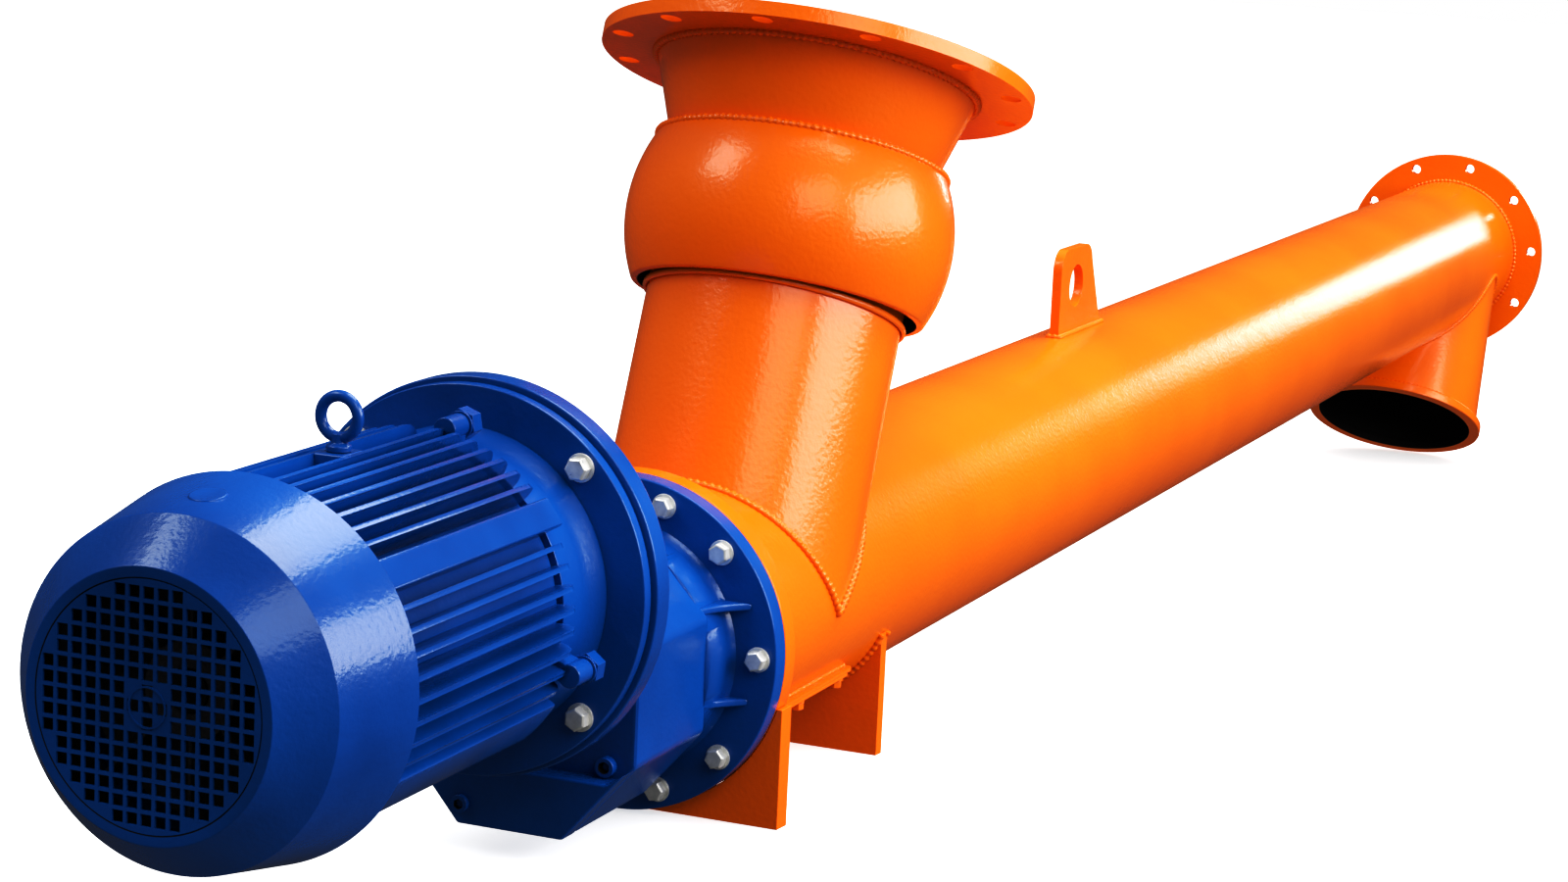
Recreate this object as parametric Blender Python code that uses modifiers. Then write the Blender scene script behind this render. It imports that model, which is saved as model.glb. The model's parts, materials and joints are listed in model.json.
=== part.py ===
"""Screw feeder: a 3 m auger tube with a ball inlet, an outlet spout and an offset geared motor.

Everything is laid out along the tube. X runs along the tube axis from the gear flange to the
far end, Z is up, and the parent empty then pitches the whole machine so that both feet and the
outlet ring stand on the floor. Metres throughout.
"""

import math

import bpy
import bmesh
from mathutils import Matrix, Vector

# Driving dimensions
TUBE_R = 0.1095
WALL = 0.005
TUBE_LENGTH = 2.988
SEAT = 0.0003
SIDES = 40
SMALL_SIDES = 16
HOLE_SIDES = 10
EYE_SIDES = 24
WIRE_SIDES = 8
BEARING_SIDES = 32
CORNER_STEPS = 5
REACH = 0.4
TUBE_START = 0.0008
CUT_INSET = 0.0010
SMOOTH_BELOW = math.radians(35.0)

DRIVE_FLANGE_R = 0.1347
PLATE_T = 0.020
FOOT_HALF_WIDTH = 0.1335
FOOT_TOP = -0.0400
FLOOR_DROP = 0.1370
REAR_FOOT_X = 0.3010
REAR_FOOT_T = 0.0130
REAR_FOOT_HALF_WIDTH = 0.1005
REAR_FOOT_TOP = -0.0450

NECK_X = 0.1720
NECK_TILT = math.radians(22.7)
NECK_TOP = 0.3058
COLLAR_AT = 0.2478
# Heights on the ball and above it are from the ball's centre, which lies this far up the neck
BALL_CENTRE = 0.3200
BALL_TILT = math.radians(20.0)
BALL_R = 0.1410
BALL_LOW = -0.0634
BALL_TOP = 0.0635
INLET_FLANGE_AT = 0.1352
INLET_FLANGE_T = 0.0120
INLET_FLANGE_R = 0.1875
INLET_BORE_R = 0.1310
INLET_HOLES = 12
INLET_HOLE_R = 0.0090
INLET_PITCH_R = 0.1722
INLET_HOLE_TURN = math.radians(-25.0)
BALL_WALL = 0.0060
BALL_STEPS = 9
SEAT_STEPS = 4
COLLAR_T = 0.0038
COLLAR_WIDTH = 0.0060
SEAT_RING_DEPTH = 0.0280
CONE_LOW_R = 0.1150
CONE_TOP_R = 0.1390

MOUTH_X = 2.7133
MOUTH_Z = -0.2270
MOUTH_TILT = math.radians(30.9)
MOUTH_R = 0.1205
SPOUT_TOP_R = 0.1065
OUTLET_RING_R = 0.1280
OUTLET_RING_BORE = 0.1115
OUTLET_RING_T = 0.0120
SPOUT_LENGTH = 0.3000

END_FLANGE_R = 0.1505
END_FLANGE_T = 0.0120
END_HOLES = 10
END_HOLE_R = 0.0070
END_PITCH_R = 0.1350
END_HOLE_TURN = math.radians(-5.0)
END_PLATE_T = 0.0100
END_PLATE_INSET = 0.0200
BEARING_R = 0.0480
BEARING_FLANGE_T = 0.0100
BEARING_T = 0.0160
BEARING_CHAMFER = 0.0060

LUG_X = 1.0400
LUG_LENGTH = 0.1440
LUG_TOP_LENGTH = 0.1040
LUG_HEIGHT = 0.2010
LUG_T = 0.0100
LUG_EYE_R = 0.0225
LUG_EYE_Z = 0.1595
LUG_CORNER_R = 0.0220
LUG_SLOPE = 0.2

HATCH_START = 0.0210
HATCH_END = 0.2370
HATCH_TOP = -0.0600
HATCH_JOINT = -0.0630
HATCH_HALF_WIDTH = 0.1002
HATCH_LAND = 0.0120
HATCH_FLANGE_T = 0.0027

SHAFT_R = 0.0300
FLIGHT_R = 0.1000
FLIGHT_PITCH = 0.2000
FLIGHT_T = 0.0050
FLIGHT_START = 0.0300
FLIGHT_SECTIONS = 7
SECTION_TURNS = 2
FLIGHT_STEPS = 14

GEAR_FLANGE_T = 0.0190
HOUSING_BACK = -0.0550
HOUSING_FRONT = -0.1800
SUMP_FRONT = -0.2015
HOUSING_HALF_WIDTH = 0.0925
BOSS_R = 0.0970
RIB_HEIGHTS = (0.0440, -0.0320)
RIB_T = 0.0060
RIB_ROOT = 0.0125
RIB_TIP = 0.1130
SUMP_LOW_HALF = 0.0435
SUMP_LOW = -0.1066
SIDE_LOW = -0.0495
SIDE_HIGH = 0.0400
SHOULDER_HALF = 0.0560
SHOULDER_HIGH = 0.0790
CROWN_HALF = 0.0340
CROWN_HIGH = 0.1100
SUMP_LEDGE_HALF = 0.0790
SUMP_LEDGE = -0.0587
SUMP_CLEARANCE = 0.0087
SIDE_PLUG_AT = (-0.0700, -0.0500)
SIDE_PLUG_R = 0.0078
SIDE_PLUG_DEPTH = 0.0080
FRONT_PLUG_AT = (0.0400, -0.0900)
FRONT_PLUG_R = 0.0070
FRONT_PLUG_DEPTH = 0.0050
SOCKET_START = 0.4

MOTOR_Z = 0.1013
MOTOR_FLANGE_R = 0.1425
ADAPTER_FLANGE_R = 0.1465
ADAPTER_R = 0.0900
SPIGOT_R = 0.1385
SHIELD_RIM_R = 0.1118
SHIELD_R = 0.1065
SHIELD_RIM_T = 0.0060
SHIELD_TAPER = 0.0220
REAR_SHIELD_R = 0.1120
REAR_SHIELD_T = 0.0100
COWL_LUG_ANGLES = (40.5, 139.5, 220.5, 319.5)
COWL_LUG_HALF = 0.0070
ADAPTER_BACK = -0.2515
ADAPTER_FRONT = -0.2720
MOTOR_FLANGE_BACK = -0.2742
MOTOR_FLANGE_FRONT = -0.2850
BODY_FRONT = -0.3400
BODY_REAR = -0.5960
CORE_R = 0.1020
FIN_TIP_R = 0.1210
FIN_T = 0.0036
UPPER_FINS = (84, 77.9, 71.8, 65.7, 59.6, 53.5, 47.4)
SIDE_FINS = (25.5, 18.2, 10.8, 3.5, -3.9, -11.2, -18.6, -25.9)
UPPER_PAD = 36.5
UPPER_PAD_HALF = 0.0110
LOWER_PAD = -40.5
LOWER_PAD_HALF = 0.0170
KEEL_FINS = (-57, -65, -73, -81, -90, -99, -107, -115, -123)
COWL_REAR = -0.5860
COWL_EDGE = -0.6620
COWL_FACE = -0.6950
COWL_REAR_R = 0.1285
COWL_EDGE_R = 0.1150
COWL_FACE_R = 0.0876
COWL_T = 0.0020
GRILLE_R = 0.0800
GRILLE_REACH = 0.0745
GRILLE_PITCH = 0.0102
GRILLE_HOLE = 0.0078
FAN_R = 0.0930
FAN_HUB_R = 0.0320
FAN_BLADES = 8
FAN_FRONT = -0.6480
FAN_BACK = -0.6160
FAN_WEB_T = 0.0040
FAN_BLADE_T = 0.0024
SHAFT_END_R = 0.0140
EYE_X = -0.4680
EYE_CENTRE = 0.1462
EYE_RING_R = 0.0140
EYE_WIRE_R = 0.0040
EYE_SHANK_R = 0.0085
EYE_PAD_LENGTH = 0.0280
EYE_PAD_WIDTH = 0.0230
EYE_PAD_PROUD = 0.0020

ALONG_X = (0.0, math.pi / 2, 0.0)
CROSSWISE = (math.pi / 2, 0.0, math.pi / 2)
SIDEWAYS = (math.pi / 2, 0.0, 0.0)


def clear_scene():
    for obj in list(bpy.data.objects):
        bpy.data.objects.remove(obj, do_unlink=True)


def new_collection(name):
    collection = bpy.data.collections.new(name)
    bpy.context.scene.collection.children.link(collection)
    return collection


def paint(name, colour, roughness, metallic):
    material = bpy.data.materials.new(name)
    material.use_nodes = True
    shader = material.node_tree.nodes["Principled BSDF"]
    shader.inputs["Base Color"].default_value = (*colour, 1.0)
    shader.inputs["Roughness"].default_value = roughness
    shader.inputs["Metallic"].default_value = metallic
    return material


clear_scene()
PARTS = new_collection("screw_feeder")
CUTTERS = new_collection("cutters")
ORANGE = paint("orange_enamel", (0.90, 0.19, 0.01), 0.25, 0.0)
BLUE = paint("blue_enamel", (0.01, 0.07, 0.42), 0.25, 0.0)
STEEL = paint("bare_steel", (0.45, 0.44, 0.42), 0.35, 1.0)
BLACK = paint("black_plastic", (0.02, 0.02, 0.02), 0.5, 0.0)


def empty(name, parent=None, location=(0, 0, 0), rotation=(0, 0, 0)):
    holder = bpy.data.objects.new(name, None)
    PARTS.objects.link(holder)
    holder.parent = parent
    holder.location = location
    holder.rotation_euler = rotation
    return holder


ROOT = empty("feeder")
MOTOR = empty("motor_axis", ROOT, (0, 0, MOTOR_Z))
NECK = empty("inlet_axis", ROOT, (NECK_X, 0, 0), (0, NECK_TILT, 0))
BALL_X = NECK_X + BALL_CENTRE * math.sin(NECK_TILT)
BALL = empty("ball_axis", ROOT, (BALL_X, 0, BALL_CENTRE * math.cos(NECK_TILT)), (0, BALL_TILT, 0))
MOUTH = empty("outlet_axis", ROOT, (MOUTH_X, 0, MOUTH_Z), (0, MOUTH_TILT, 0))


def place(name, data, material, parent, rotation=(0, 0, 0), location=(0, 0, 0)):
    """Adds an object to the model, or to the cutters when it has no material."""
    obj = bpy.data.objects.new(name, data)
    obj.parent = parent
    obj.rotation_euler = rotation
    obj.location = location
    if material is None:
        CUTTERS.objects.link(obj)
        obj.hide_render = True
        obj.display_type = "WIRE"
    else:
        PARTS.objects.link(obj)
        data.materials.append(material)
    return obj


def turned(
    name, profile, material, parent, rotation=(0, 0, 0), location=(0, 0, 0), closed=True, steps=SIDES,
):
    """Turns a profile of (radius, height) about local Z. It runs down its outer side."""
    mesh = bpy.data.meshes.new(name)
    count = len(profile)
    edges = [(i, i + 1) for i in range(count - 1)] + ([(count - 1, 0)] if closed else [])
    mesh.from_pydata([(radius, 0.0, height) for radius, height in profile], edges, [])
    obj = place(name, mesh, material, parent, rotation, location)
    screw = obj.modifiers.new("turn", "SCREW")
    screw.steps = screw.render_steps = steps
    screw.use_merge_vertices = True
    screw.merge_threshold = 0.0001
    return obj


def ring(name, outer, inner, low, high, material, parent, rotation=(0, 0, 0), steps=SIDES):
    profile = [(outer, high), (outer, low), (inner, low), (inner, high)]
    return turned(name, profile, material, parent, rotation, steps=steps)


def disc(name, radius, low, high, material, parent, rotation=(0, 0, 0), steps=SIDES):
    profile = [(0, high), (radius, high), (radius, low), (0, low)]
    return turned(name, profile, material, parent, rotation, closed=False, steps=steps)


def plate(name, outline, thickness, material, parent, rotation, location=(0, 0, 0)):
    """A flat outline with a thickness, centred on its own plane, as a mesh that can be cut."""
    curve = bpy.data.curves.new(name, "CURVE")
    curve.dimensions = "2D"
    curve.fill_mode = "BOTH"
    curve.extrude = thickness / 2
    spline = curve.splines.new("POLY")
    spline.points.add(len(outline) - 1)
    for point, (across, up) in zip(spline.points, outline):
        point.co = (across, up, 0.0, 1.0)
    spline.use_cyclic_u = True
    drawing = bpy.data.objects.new(name + "_outline", curve)
    bpy.context.scene.collection.objects.link(drawing)
    bpy.context.view_layer.update()
    graph = bpy.context.evaluated_depsgraph_get()
    mesh = bpy.data.meshes.new_from_object(drawing.evaluated_get(graph))
    bpy.data.objects.remove(drawing, do_unlink=True)
    mesh.name = name
    weld(mesh)
    return place(name, mesh, material, parent, rotation, location)


def weld(mesh):
    shell = bmesh.new()
    shell.from_mesh(mesh)
    bmesh.ops.remove_doubles(shell, verts=shell.verts, dist=0.00001)
    bmesh.ops.recalc_face_normals(shell, faces=shell.faces)
    shell.to_mesh(mesh)
    shell.free()


def box(name, low, high, material, parent, rotation=(0, 0, 0)):
    """A box between two corners."""
    shell = bmesh.new()
    bmesh.ops.create_cube(shell, size=1.0)
    size = Vector(high) - Vector(low)
    middle = (Vector(high) + Vector(low)) / 2
    matrix = Matrix.Translation(middle) @ Matrix.Diagonal((*size, 1))
    bmesh.ops.transform(shell, verts=shell.verts, matrix=matrix)
    mesh = bpy.data.meshes.new(name)
    shell.to_mesh(mesh)
    shell.free()
    return place(name, mesh, material, parent, rotation)


def pegs(name, spots, radius, low, high, parent, rotation=(0, 0, 0), sides=12):
    """Cutters: one closed cylinder along local Z at each (x, y) spot."""
    shell = bmesh.new()
    for x, y in spots:
        middle = Matrix.Translation((x, y, (low + high) / 2))
        bmesh.ops.create_cone(
            shell, cap_ends=True, segments=sides, radius1=radius, radius2=radius,
            depth=high - low, matrix=middle,
        )
    mesh = bpy.data.meshes.new(name)
    shell.to_mesh(mesh)
    shell.free()
    return place(name, mesh, None, parent, rotation)


def combine(obj, other, operation="DIFFERENCE"):
    boolean = obj.modifiers.new(other.name, "BOOLEAN")
    boolean.operation = operation
    boolean.solver = "EXACT"
    boolean.object = other


def on_circle(count, radius, turn=0.0):
    step = 2 * math.pi / count
    return [(radius * math.cos(turn + i * step), radius * math.sin(turn + i * step)) for i in range(count)]


def arc(radius, start, end, count):
    """Points of (radius, height) on a circle about the origin, from one angle to another."""
    angles = [start + (end - start) * i / (count - 1) for i in range(count)]
    return [(radius * math.cos(a), radius * math.sin(a)) for a in angles]


def floor_level(x):
    """Height of the floor below the tube axis, in the tube's own frame."""
    return -FLOOR_DROP - x * math.tan(PITCH)


# The lowest point of the outlet ring and the feet set the pitch of the tube
RING_LOW_X = MOUTH_X + OUTLET_RING_R * math.cos(MOUTH_TILT)
RING_LOW_Z = MOUTH_Z - OUTLET_RING_R * math.sin(MOUTH_TILT)
PITCH = math.atan2(-RING_LOW_Z - FLOOR_DROP, RING_LOW_X)

# Cutters that several pieces share
TUBE_SPACE = disc("tube_space", TUBE_R + SEAT, -REACH, TUBE_LENGTH + REACH, None, ROOT, ALONG_X)
NECK_BORE = disc("neck_bore", TUBE_R - WALL, 0, REACH, None, NECK)
SOLE = -FLOOR_DROP * math.cos(PITCH)
FLOOR = box("floor_block", (-REACH, -REACH, -REACH), (TUBE_LENGTH, REACH, SOLE), None, ROOT, (0, PITCH, 0))


def feeder_tube():
    tube = ring("feeder_tube", TUBE_R, TUBE_R - WALL, TUBE_START, TUBE_LENGTH, ORANGE, ROOT, ALONG_X)
    combine(tube, NECK_BORE)
    low = MOUTH_R - WALL - CUT_INSET
    high = SPOUT_TOP_R - WALL - CUT_INSET
    bore = [(0, SPOUT_LENGTH), (high, SPOUT_LENGTH), (low, 0), (0, 0)]
    combine(tube, turned("outlet_bore", bore, None, MOUTH, closed=False))
    start, end = HATCH_START + HATCH_LAND, HATCH_END - HATCH_LAND
    combine(tube, box("hatch_hole", (start, -REACH, -REACH), (end, REACH, HATCH_JOINT), None, ROOT))


def foot_plate(name, half_width, top, thickness, start):
    """A plate across the tube whose sole lies on the floor."""
    low = floor_level(start + thickness) - WALL
    outline = [(-half_width, low), (half_width, low), (half_width, top), (-half_width, top)]
    middle = (start + thickness / 2, 0, 0)
    foot = plate(name, outline, thickness, ORANGE, ROOT, CROSSWISE, middle)
    combine(foot, FLOOR)
    return foot


def drive_end():
    ring("drive_end_flange", DRIVE_FLANGE_R, TUBE_R + SEAT, SEAT, PLATE_T, ORANGE, ROOT, ALONG_X)
    foot = foot_plate("front_foot", FOOT_HALF_WIDTH, FOOT_TOP, PLATE_T - SEAT, SEAT)
    combine(foot, disc("flange_space", DRIVE_FLANGE_R + SEAT, -REACH, REACH, None, ROOT, ALONG_X))


def rear_foot():
    foot = foot_plate("rear_foot", REAR_FOOT_HALF_WIDTH, REAR_FOOT_TOP, REAR_FOOT_T, REAR_FOOT_X)
    combine(foot, TUBE_SPACE)


def hatch():
    """The clean-out hatch: a strip welded along each side of the tube, and a curved cover bolted to them."""
    for side, name in ((-1, "hatch_bar_right"), (1, "hatch_bar_left")):
        inner, outer = sorted((0, side * HATCH_HALF_WIDTH))
        bar = box(name, (HATCH_START, inner, HATCH_JOINT), (HATCH_END, outer, HATCH_TOP), ORANGE, ROOT)
        combine(bar, TUBE_SPACE)
    start = HATCH_START + HATCH_LAND + SEAT
    end = HATCH_END - HATCH_LAND - SEAT
    top = HATCH_JOINT - SEAT
    cover = ring("hatch_cover", TUBE_R, TUBE_R - WALL, start, end, ORANGE, ROOT, ALONG_X)
    combine(cover, box("above_hatch", (-REACH, -REACH, top), (REACH, REACH, REACH), None, ROOT))
    low = top - HATCH_FLANGE_T
    wings = box("hatch_flange", (start, -HATCH_HALF_WIDTH, low), (end, HATCH_HALF_WIDTH, top), None, ROOT)
    combine(wings, disc("hatch_bore", TUBE_R - WALL / 2, -REACH, REACH, None, ROOT, ALONG_X))
    combine(cover, wings, "UNION")


def ball(radius, low, high, count):
    """Points down a ball's outline between two heights from its centre."""
    return arc(radius, math.asin(high / radius), math.asin(low / radius), count)


def inlet():
    """The neck carries a spherical seat, and the ball shell turns on it with the cone and the flange."""
    neck = ring("inlet_neck", TUBE_R, TUBE_R - WALL, 0, NECK_TOP, ORANGE, NECK)
    combine(neck, TUBE_SPACE)
    bore = TUBE_R + SEAT
    ring("neck_collar", bore + COLLAR_T, bore, COLLAR_AT, COLLAR_AT + COLLAR_WIDTH, ORANGE, NECK)

    inside = BALL_R - BALL_WALL
    high = NECK_TOP - BALL_CENTRE
    low = high - SEAT_RING_DEPTH
    # The seat leans with the neck, so its round stays inside the facets of the shell
    round_r = inside * math.cos(math.pi / SIDES) ** 2 - SEAT
    seat = ball(round_r, low, high, SEAT_STEPS) + [(bore, low), (bore, high)]
    turned("ball_seat", seat, BLACK, NECK, location=(0, 0, BALL_CENTRE))

    # The shell's top turns in to a flat lip that the cone stands on
    under, lip = BALL_TOP - BALL_WALL, CONE_LOW_R - WALL
    shell = ball(BALL_R, BALL_LOW, BALL_TOP, BALL_STEPS)
    shell += ball(inside, BALL_LOW, under, BALL_STEPS)[::-1] + [(lip, under), (lip, BALL_TOP)]
    turned("inlet_ball", shell, ORANGE, BALL)

    low = BALL_TOP + SEAT
    high = INLET_FLANGE_AT - SEAT
    cone = [(CONE_TOP_R, high), (CONE_LOW_R, low), (CONE_LOW_R - WALL, low), (CONE_TOP_R - WALL, high)]
    turned("inlet_cone", cone, ORANGE, BALL)

    low, high = INLET_FLANGE_AT, INLET_FLANGE_AT + INLET_FLANGE_T
    flange = ring("inlet_flange", INLET_FLANGE_R, INLET_BORE_R, low, high, ORANGE, BALL)
    spots = on_circle(INLET_HOLES, INLET_PITCH_R, INLET_HOLE_TURN)
    holes = pegs("inlet_bolt_holes", spots, INLET_HOLE_R, low - WALL, high + WALL, BALL, sides=HOLE_SIDES)
    combine(flange, holes)


def outlet():
    """The spout narrows from its mouth to the tube, and its wall stands on the outlet ring."""
    rise = (MOUTH_R - SPOUT_TOP_R) / SPOUT_LENGTH
    low = OUTLET_RING_T + SEAT
    foot_r = MOUTH_R - rise * low
    outer = [(SPOUT_TOP_R, SPOUT_LENGTH), (foot_r, low)]
    inner = [(foot_r - WALL, low), (SPOUT_TOP_R - WALL, SPOUT_LENGTH)]
    spout = turned("outlet_spout", outer + inner, ORANGE, MOUTH)
    combine(spout, TUBE_SPACE)
    above = box("above_axis", (MOUTH_X - REACH, -REACH, 0), (MOUTH_X + REACH, REACH, REACH), None, ROOT)
    combine(spout, above)
    ring("outlet_ring", OUTLET_RING_R, OUTLET_RING_BORE, 0, OUTLET_RING_T, ORANGE, MOUTH)


def far_end():
    low = TUBE_LENGTH - END_FLANGE_T
    flange = ring("end_flange", END_FLANGE_R, TUBE_R + SEAT, low, TUBE_LENGTH, ORANGE, ROOT, ALONG_X)
    spots = on_circle(END_HOLES, END_PITCH_R, math.pi / 2 + END_HOLE_TURN)
    high = TUBE_LENGTH + WALL
    combine(flange, pegs("end_bolt_holes", spots, END_HOLE_R, low - WALL, high, ROOT, ALONG_X, HOLE_SIDES))
    face = TUBE_LENGTH - END_PLATE_INSET
    inside = TUBE_R - WALL - SEAT
    ring("end_plate", inside, SHAFT_R + SEAT, face - END_PLATE_T, face, ORANGE, ROOT, ALONG_X)
    start = face + SEAT
    step, top = start + BEARING_FLANGE_T, start + BEARING_T
    boss = SHAFT_R + BEARING_CHAMFER
    cap = [(0, top), (SHAFT_R, top), (boss, step), (BEARING_R, step), (BEARING_R, start), (0, start)]
    turned("end_bearing", cap, ORANGE, ROOT, ALONG_X, closed=False, steps=BEARING_SIDES)


def lifting_lug():
    left = LUG_X
    right = left + LUG_TOP_LENGTH
    radius = LUG_CORNER_R
    high = LUG_HEIGHT - radius
    outline = [(left, TUBE_R - WALL), (left + LUG_LENGTH, TUBE_R - WALL)]
    outline += [(right - radius + x, high + z) for x, z in arc(radius, LUG_SLOPE, math.pi / 2, CORNER_STEPS)]
    outline += [(left + radius + x, high + z) for x, z in arc(radius, math.pi / 2, math.pi, CORNER_STEPS)]
    lug = plate("lifting_lug", outline, LUG_T, ORANGE, ROOT, SIDEWAYS)
    combine(lug, TUBE_SPACE)
    middle = left + LUG_TOP_LENGTH / 2
    combine(lug, pegs("lug_eye", [(middle, LUG_EYE_Z)], LUG_EYE_R, -LUG_T, LUG_T, ROOT, SIDEWAYS, EYE_SIDES))


def auger():
    disc("auger_shaft", SHAFT_R, SEAT, TUBE_LENGTH - END_PLATE_INSET, STEEL, ROOT, ALONG_X, SMALL_SIDES)
    for section in range(FLIGHT_SECTIONS):
        start = FLIGHT_START + section * SECTION_TURNS * FLIGHT_PITCH
        flight_section("auger_flight_{}".format(section + 1), start)


def flight_section(name, start):
    """A length of flight, which stops just short of where the next one starts."""
    # The flight's straight facets stay outside the shaft's round
    inner = (SHAFT_R + SEAT) / math.cos(math.pi / FLIGHT_STEPS)
    turn = 2 * math.pi - SEAT / SHAFT_R / SECTION_TURNS
    mesh = bpy.data.meshes.new(name)
    mesh.from_pydata([(inner, 0, 0), (FLIGHT_R, 0, 0)], [(0, 1)], [])
    flight = place(name, mesh, STEEL, ROOT, ALONG_X, (start, 0, 0))
    screw = flight.modifiers.new("turn", "SCREW")
    screw.steps = screw.render_steps = FLIGHT_STEPS
    screw.angle = turn
    screw.iterations = SECTION_TURNS
    screw.screw_offset = FLIGHT_PITCH * turn / (2 * math.pi)
    thick = flight.modifiers.new("plate", "SOLIDIFY")
    thick.thickness = FLIGHT_T
    thick.offset = 0


def gear_unit():
    """A cast housing with an output boss and four ribs behind it, and a sump casting low at its front."""
    disc("gear_flange", DRIVE_FLANGE_R, -GEAR_FLANGE_T, 0, BLUE, ROOT, ALONG_X)
    right = [(SUMP_LOW_HALF, SUMP_LOW), (HOUSING_HALF_WIDTH, SIDE_LOW), (HOUSING_HALF_WIDTH, SIDE_HIGH)]
    right += [(SHOULDER_HALF, SHOULDER_HIGH), (CROWN_HALF, CROWN_HIGH)]
    outline = right + [(-across, up) for across, up in reversed(right)]
    length = HOUSING_BACK - HOUSING_FRONT
    middle = (HOUSING_BACK + HOUSING_FRONT) / 2
    housing = plate("gear_housing", outline, length, BLUE, ROOT, CROSSWISE, (middle, 0, 0))
    back = -GEAR_FLANGE_T - SEAT
    combine(housing, disc("output_boss", BOSS_R, HOUSING_BACK - WALL, back, None, ROOT, ALONG_X), "UNION")
    for side in (-1, 1):
        for height in RIB_HEIGHTS:
            combine(housing, rib(side, height, back), "UNION")

    step = [(SUMP_LOW_HALF, SUMP_LOW), (HOUSING_HALF_WIDTH, SIDE_LOW), (SUMP_LEDGE_HALF, SUMP_LEDGE)]
    front = step + [(-across, up) for across, up in reversed(step)]
    depth = HOUSING_FRONT - SEAT - SUMP_FRONT
    plate("gear_sump", front, depth, BLUE, ROOT, CROSSWISE, (SUMP_FRONT + depth / 2, 0, 0))


def rib(side, height, back):
    """A web between the housing's side and the flange, sloping outwards to its tip at the flange."""
    start = HOUSING_BACK - WALL
    root = side * (HOUSING_HALF_WIDTH - RIB_ROOT)
    low = side * (HOUSING_HALF_WIDTH - WALL)
    outline = [(start, root), (back, root), (back, side * RIB_TIP), (start, low)]
    name = "rib_{}_{}".format("left" if side > 0 else "right", "upper" if height > 0 else "lower")
    return plate(name, outline, RIB_T, None, ROOT, (0, 0, 0), (0, 0, height))


def plug(name, spot, radius, socket, depth):
    """A screwed plug with a socket in its face."""
    floor = -depth * SOCKET_START
    profile = [(0, 0), (radius, 0), (radius, -depth), (socket, -depth), (socket, floor), (0, floor)]
    turned(name, profile, BLUE, ROOT, ALONG_X, spot, closed=False, steps=SMALL_SIDES)


def motor_front():
    start = HOUSING_FRONT - SEAT
    bell = disc("motor_adapter", ADAPTER_R, ADAPTER_BACK + SEAT, start, BLUE, MOTOR, ALONG_X)
    above_sump = SUMP_LEDGE + SUMP_CLEARANCE - MOTOR_Z
    combine(bell, box("sump_space", (-REACH, -REACH, -REACH), (0, REACH, above_sump), None, MOTOR))
    disc("adapter_flange", ADAPTER_FLANGE_R, ADAPTER_FRONT, ADAPTER_BACK, BLUE, MOTOR, ALONG_X)
    low, high = MOTOR_FLANGE_BACK + SEAT, ADAPTER_FRONT - SEAT
    disc("flange_spigot", SPIGOT_R, low, high, BLUE, MOTOR, ALONG_X)
    disc("motor_flange", MOTOR_FLANGE_R, MOTOR_FLANGE_FRONT, MOTOR_FLANGE_BACK, BLUE, MOTOR, ALONG_X)
    back = MOTOR_FLANGE_FRONT - SEAT
    front = BODY_FRONT + SEAT
    rim, taper = back - SHIELD_RIM_T, back - SHIELD_TAPER
    shield = [(0, back), (SHIELD_RIM_R, back), (SHIELD_RIM_R, rim), (SHIELD_R, taper)]
    shield += [(SHIELD_R, front), (0, front)]
    turned("motor_end_shield", shield, BLUE, MOTOR, ALONG_X, closed=False)


def fin_outline():
    """Cross-section of the stator housing: a round core with fins, two smooth pads a side and a keel."""
    tabs = []
    for angle in UPPER_FINS + SIDE_FINS:
        tabs += [(angle, FIN_T / 2), (180 - angle, FIN_T / 2)]
    for angle, half in ((UPPER_PAD, UPPER_PAD_HALF), (LOWER_PAD, LOWER_PAD_HALF)):
        tabs += [(angle, half), (180 - angle, half)]
    tabs += [(angle, FIN_T / 2) for angle in KEEL_FINS]
    points = []
    for angle, half in sorted((angle % 360, half) for angle, half in tabs):
        along = Vector((math.cos(math.radians(angle)), math.sin(math.radians(angle))))
        aside = Vector((-along.y, along.x)) * half
        root = along * math.sqrt(CORE_R ** 2 - half ** 2)
        end = along * math.sqrt(FIN_TIP_R ** 2 - half ** 2)
        points += [tuple(root - aside), tuple(end - aside), tuple(end + aside), tuple(root + aside)]
    return points


def motor_body():
    length = BODY_FRONT - BODY_REAR
    middle = (BODY_FRONT + BODY_REAR) / 2
    plate("motor_body", fin_outline(), length, BLUE, MOTOR, CROSSWISE, (middle, 0, 0))


def cowl_inside(x):
    """Distance from the motor axis to the middle of the cowl's inner facets."""
    share = (COWL_REAR - x) / (COWL_REAR - COWL_EDGE - COWL_T / 2)
    radius = COWL_REAR_R - COWL_T + share * (COWL_EDGE_R - COWL_REAR_R)
    return radius * math.cos(math.pi / SIDES)


def rear_shield():
    """The motor's rear end shield, whose four lugs carry the fan cowl."""
    rear = BODY_REAR - SEAT
    bore = SHAFT_END_R + SEAT
    end = rear - REAR_SHIELD_T
    shield = ring("motor_rear_shield", REAR_SHIELD_R, bore, end, rear, BLUE, MOTOR, ALONG_X)
    tip = cowl_inside(end) - SEAT
    for angle in COWL_LUG_ANGLES:
        low, high = (end, -COWL_LUG_HALF, CORE_R), (rear, COWL_LUG_HALF, tip)
        lug = box("cowl_lug_{:.0f}".format(angle), low, high, None, MOTOR, (math.radians(angle), 0, 0))
        combine(shield, lug, "UNION")


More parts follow.
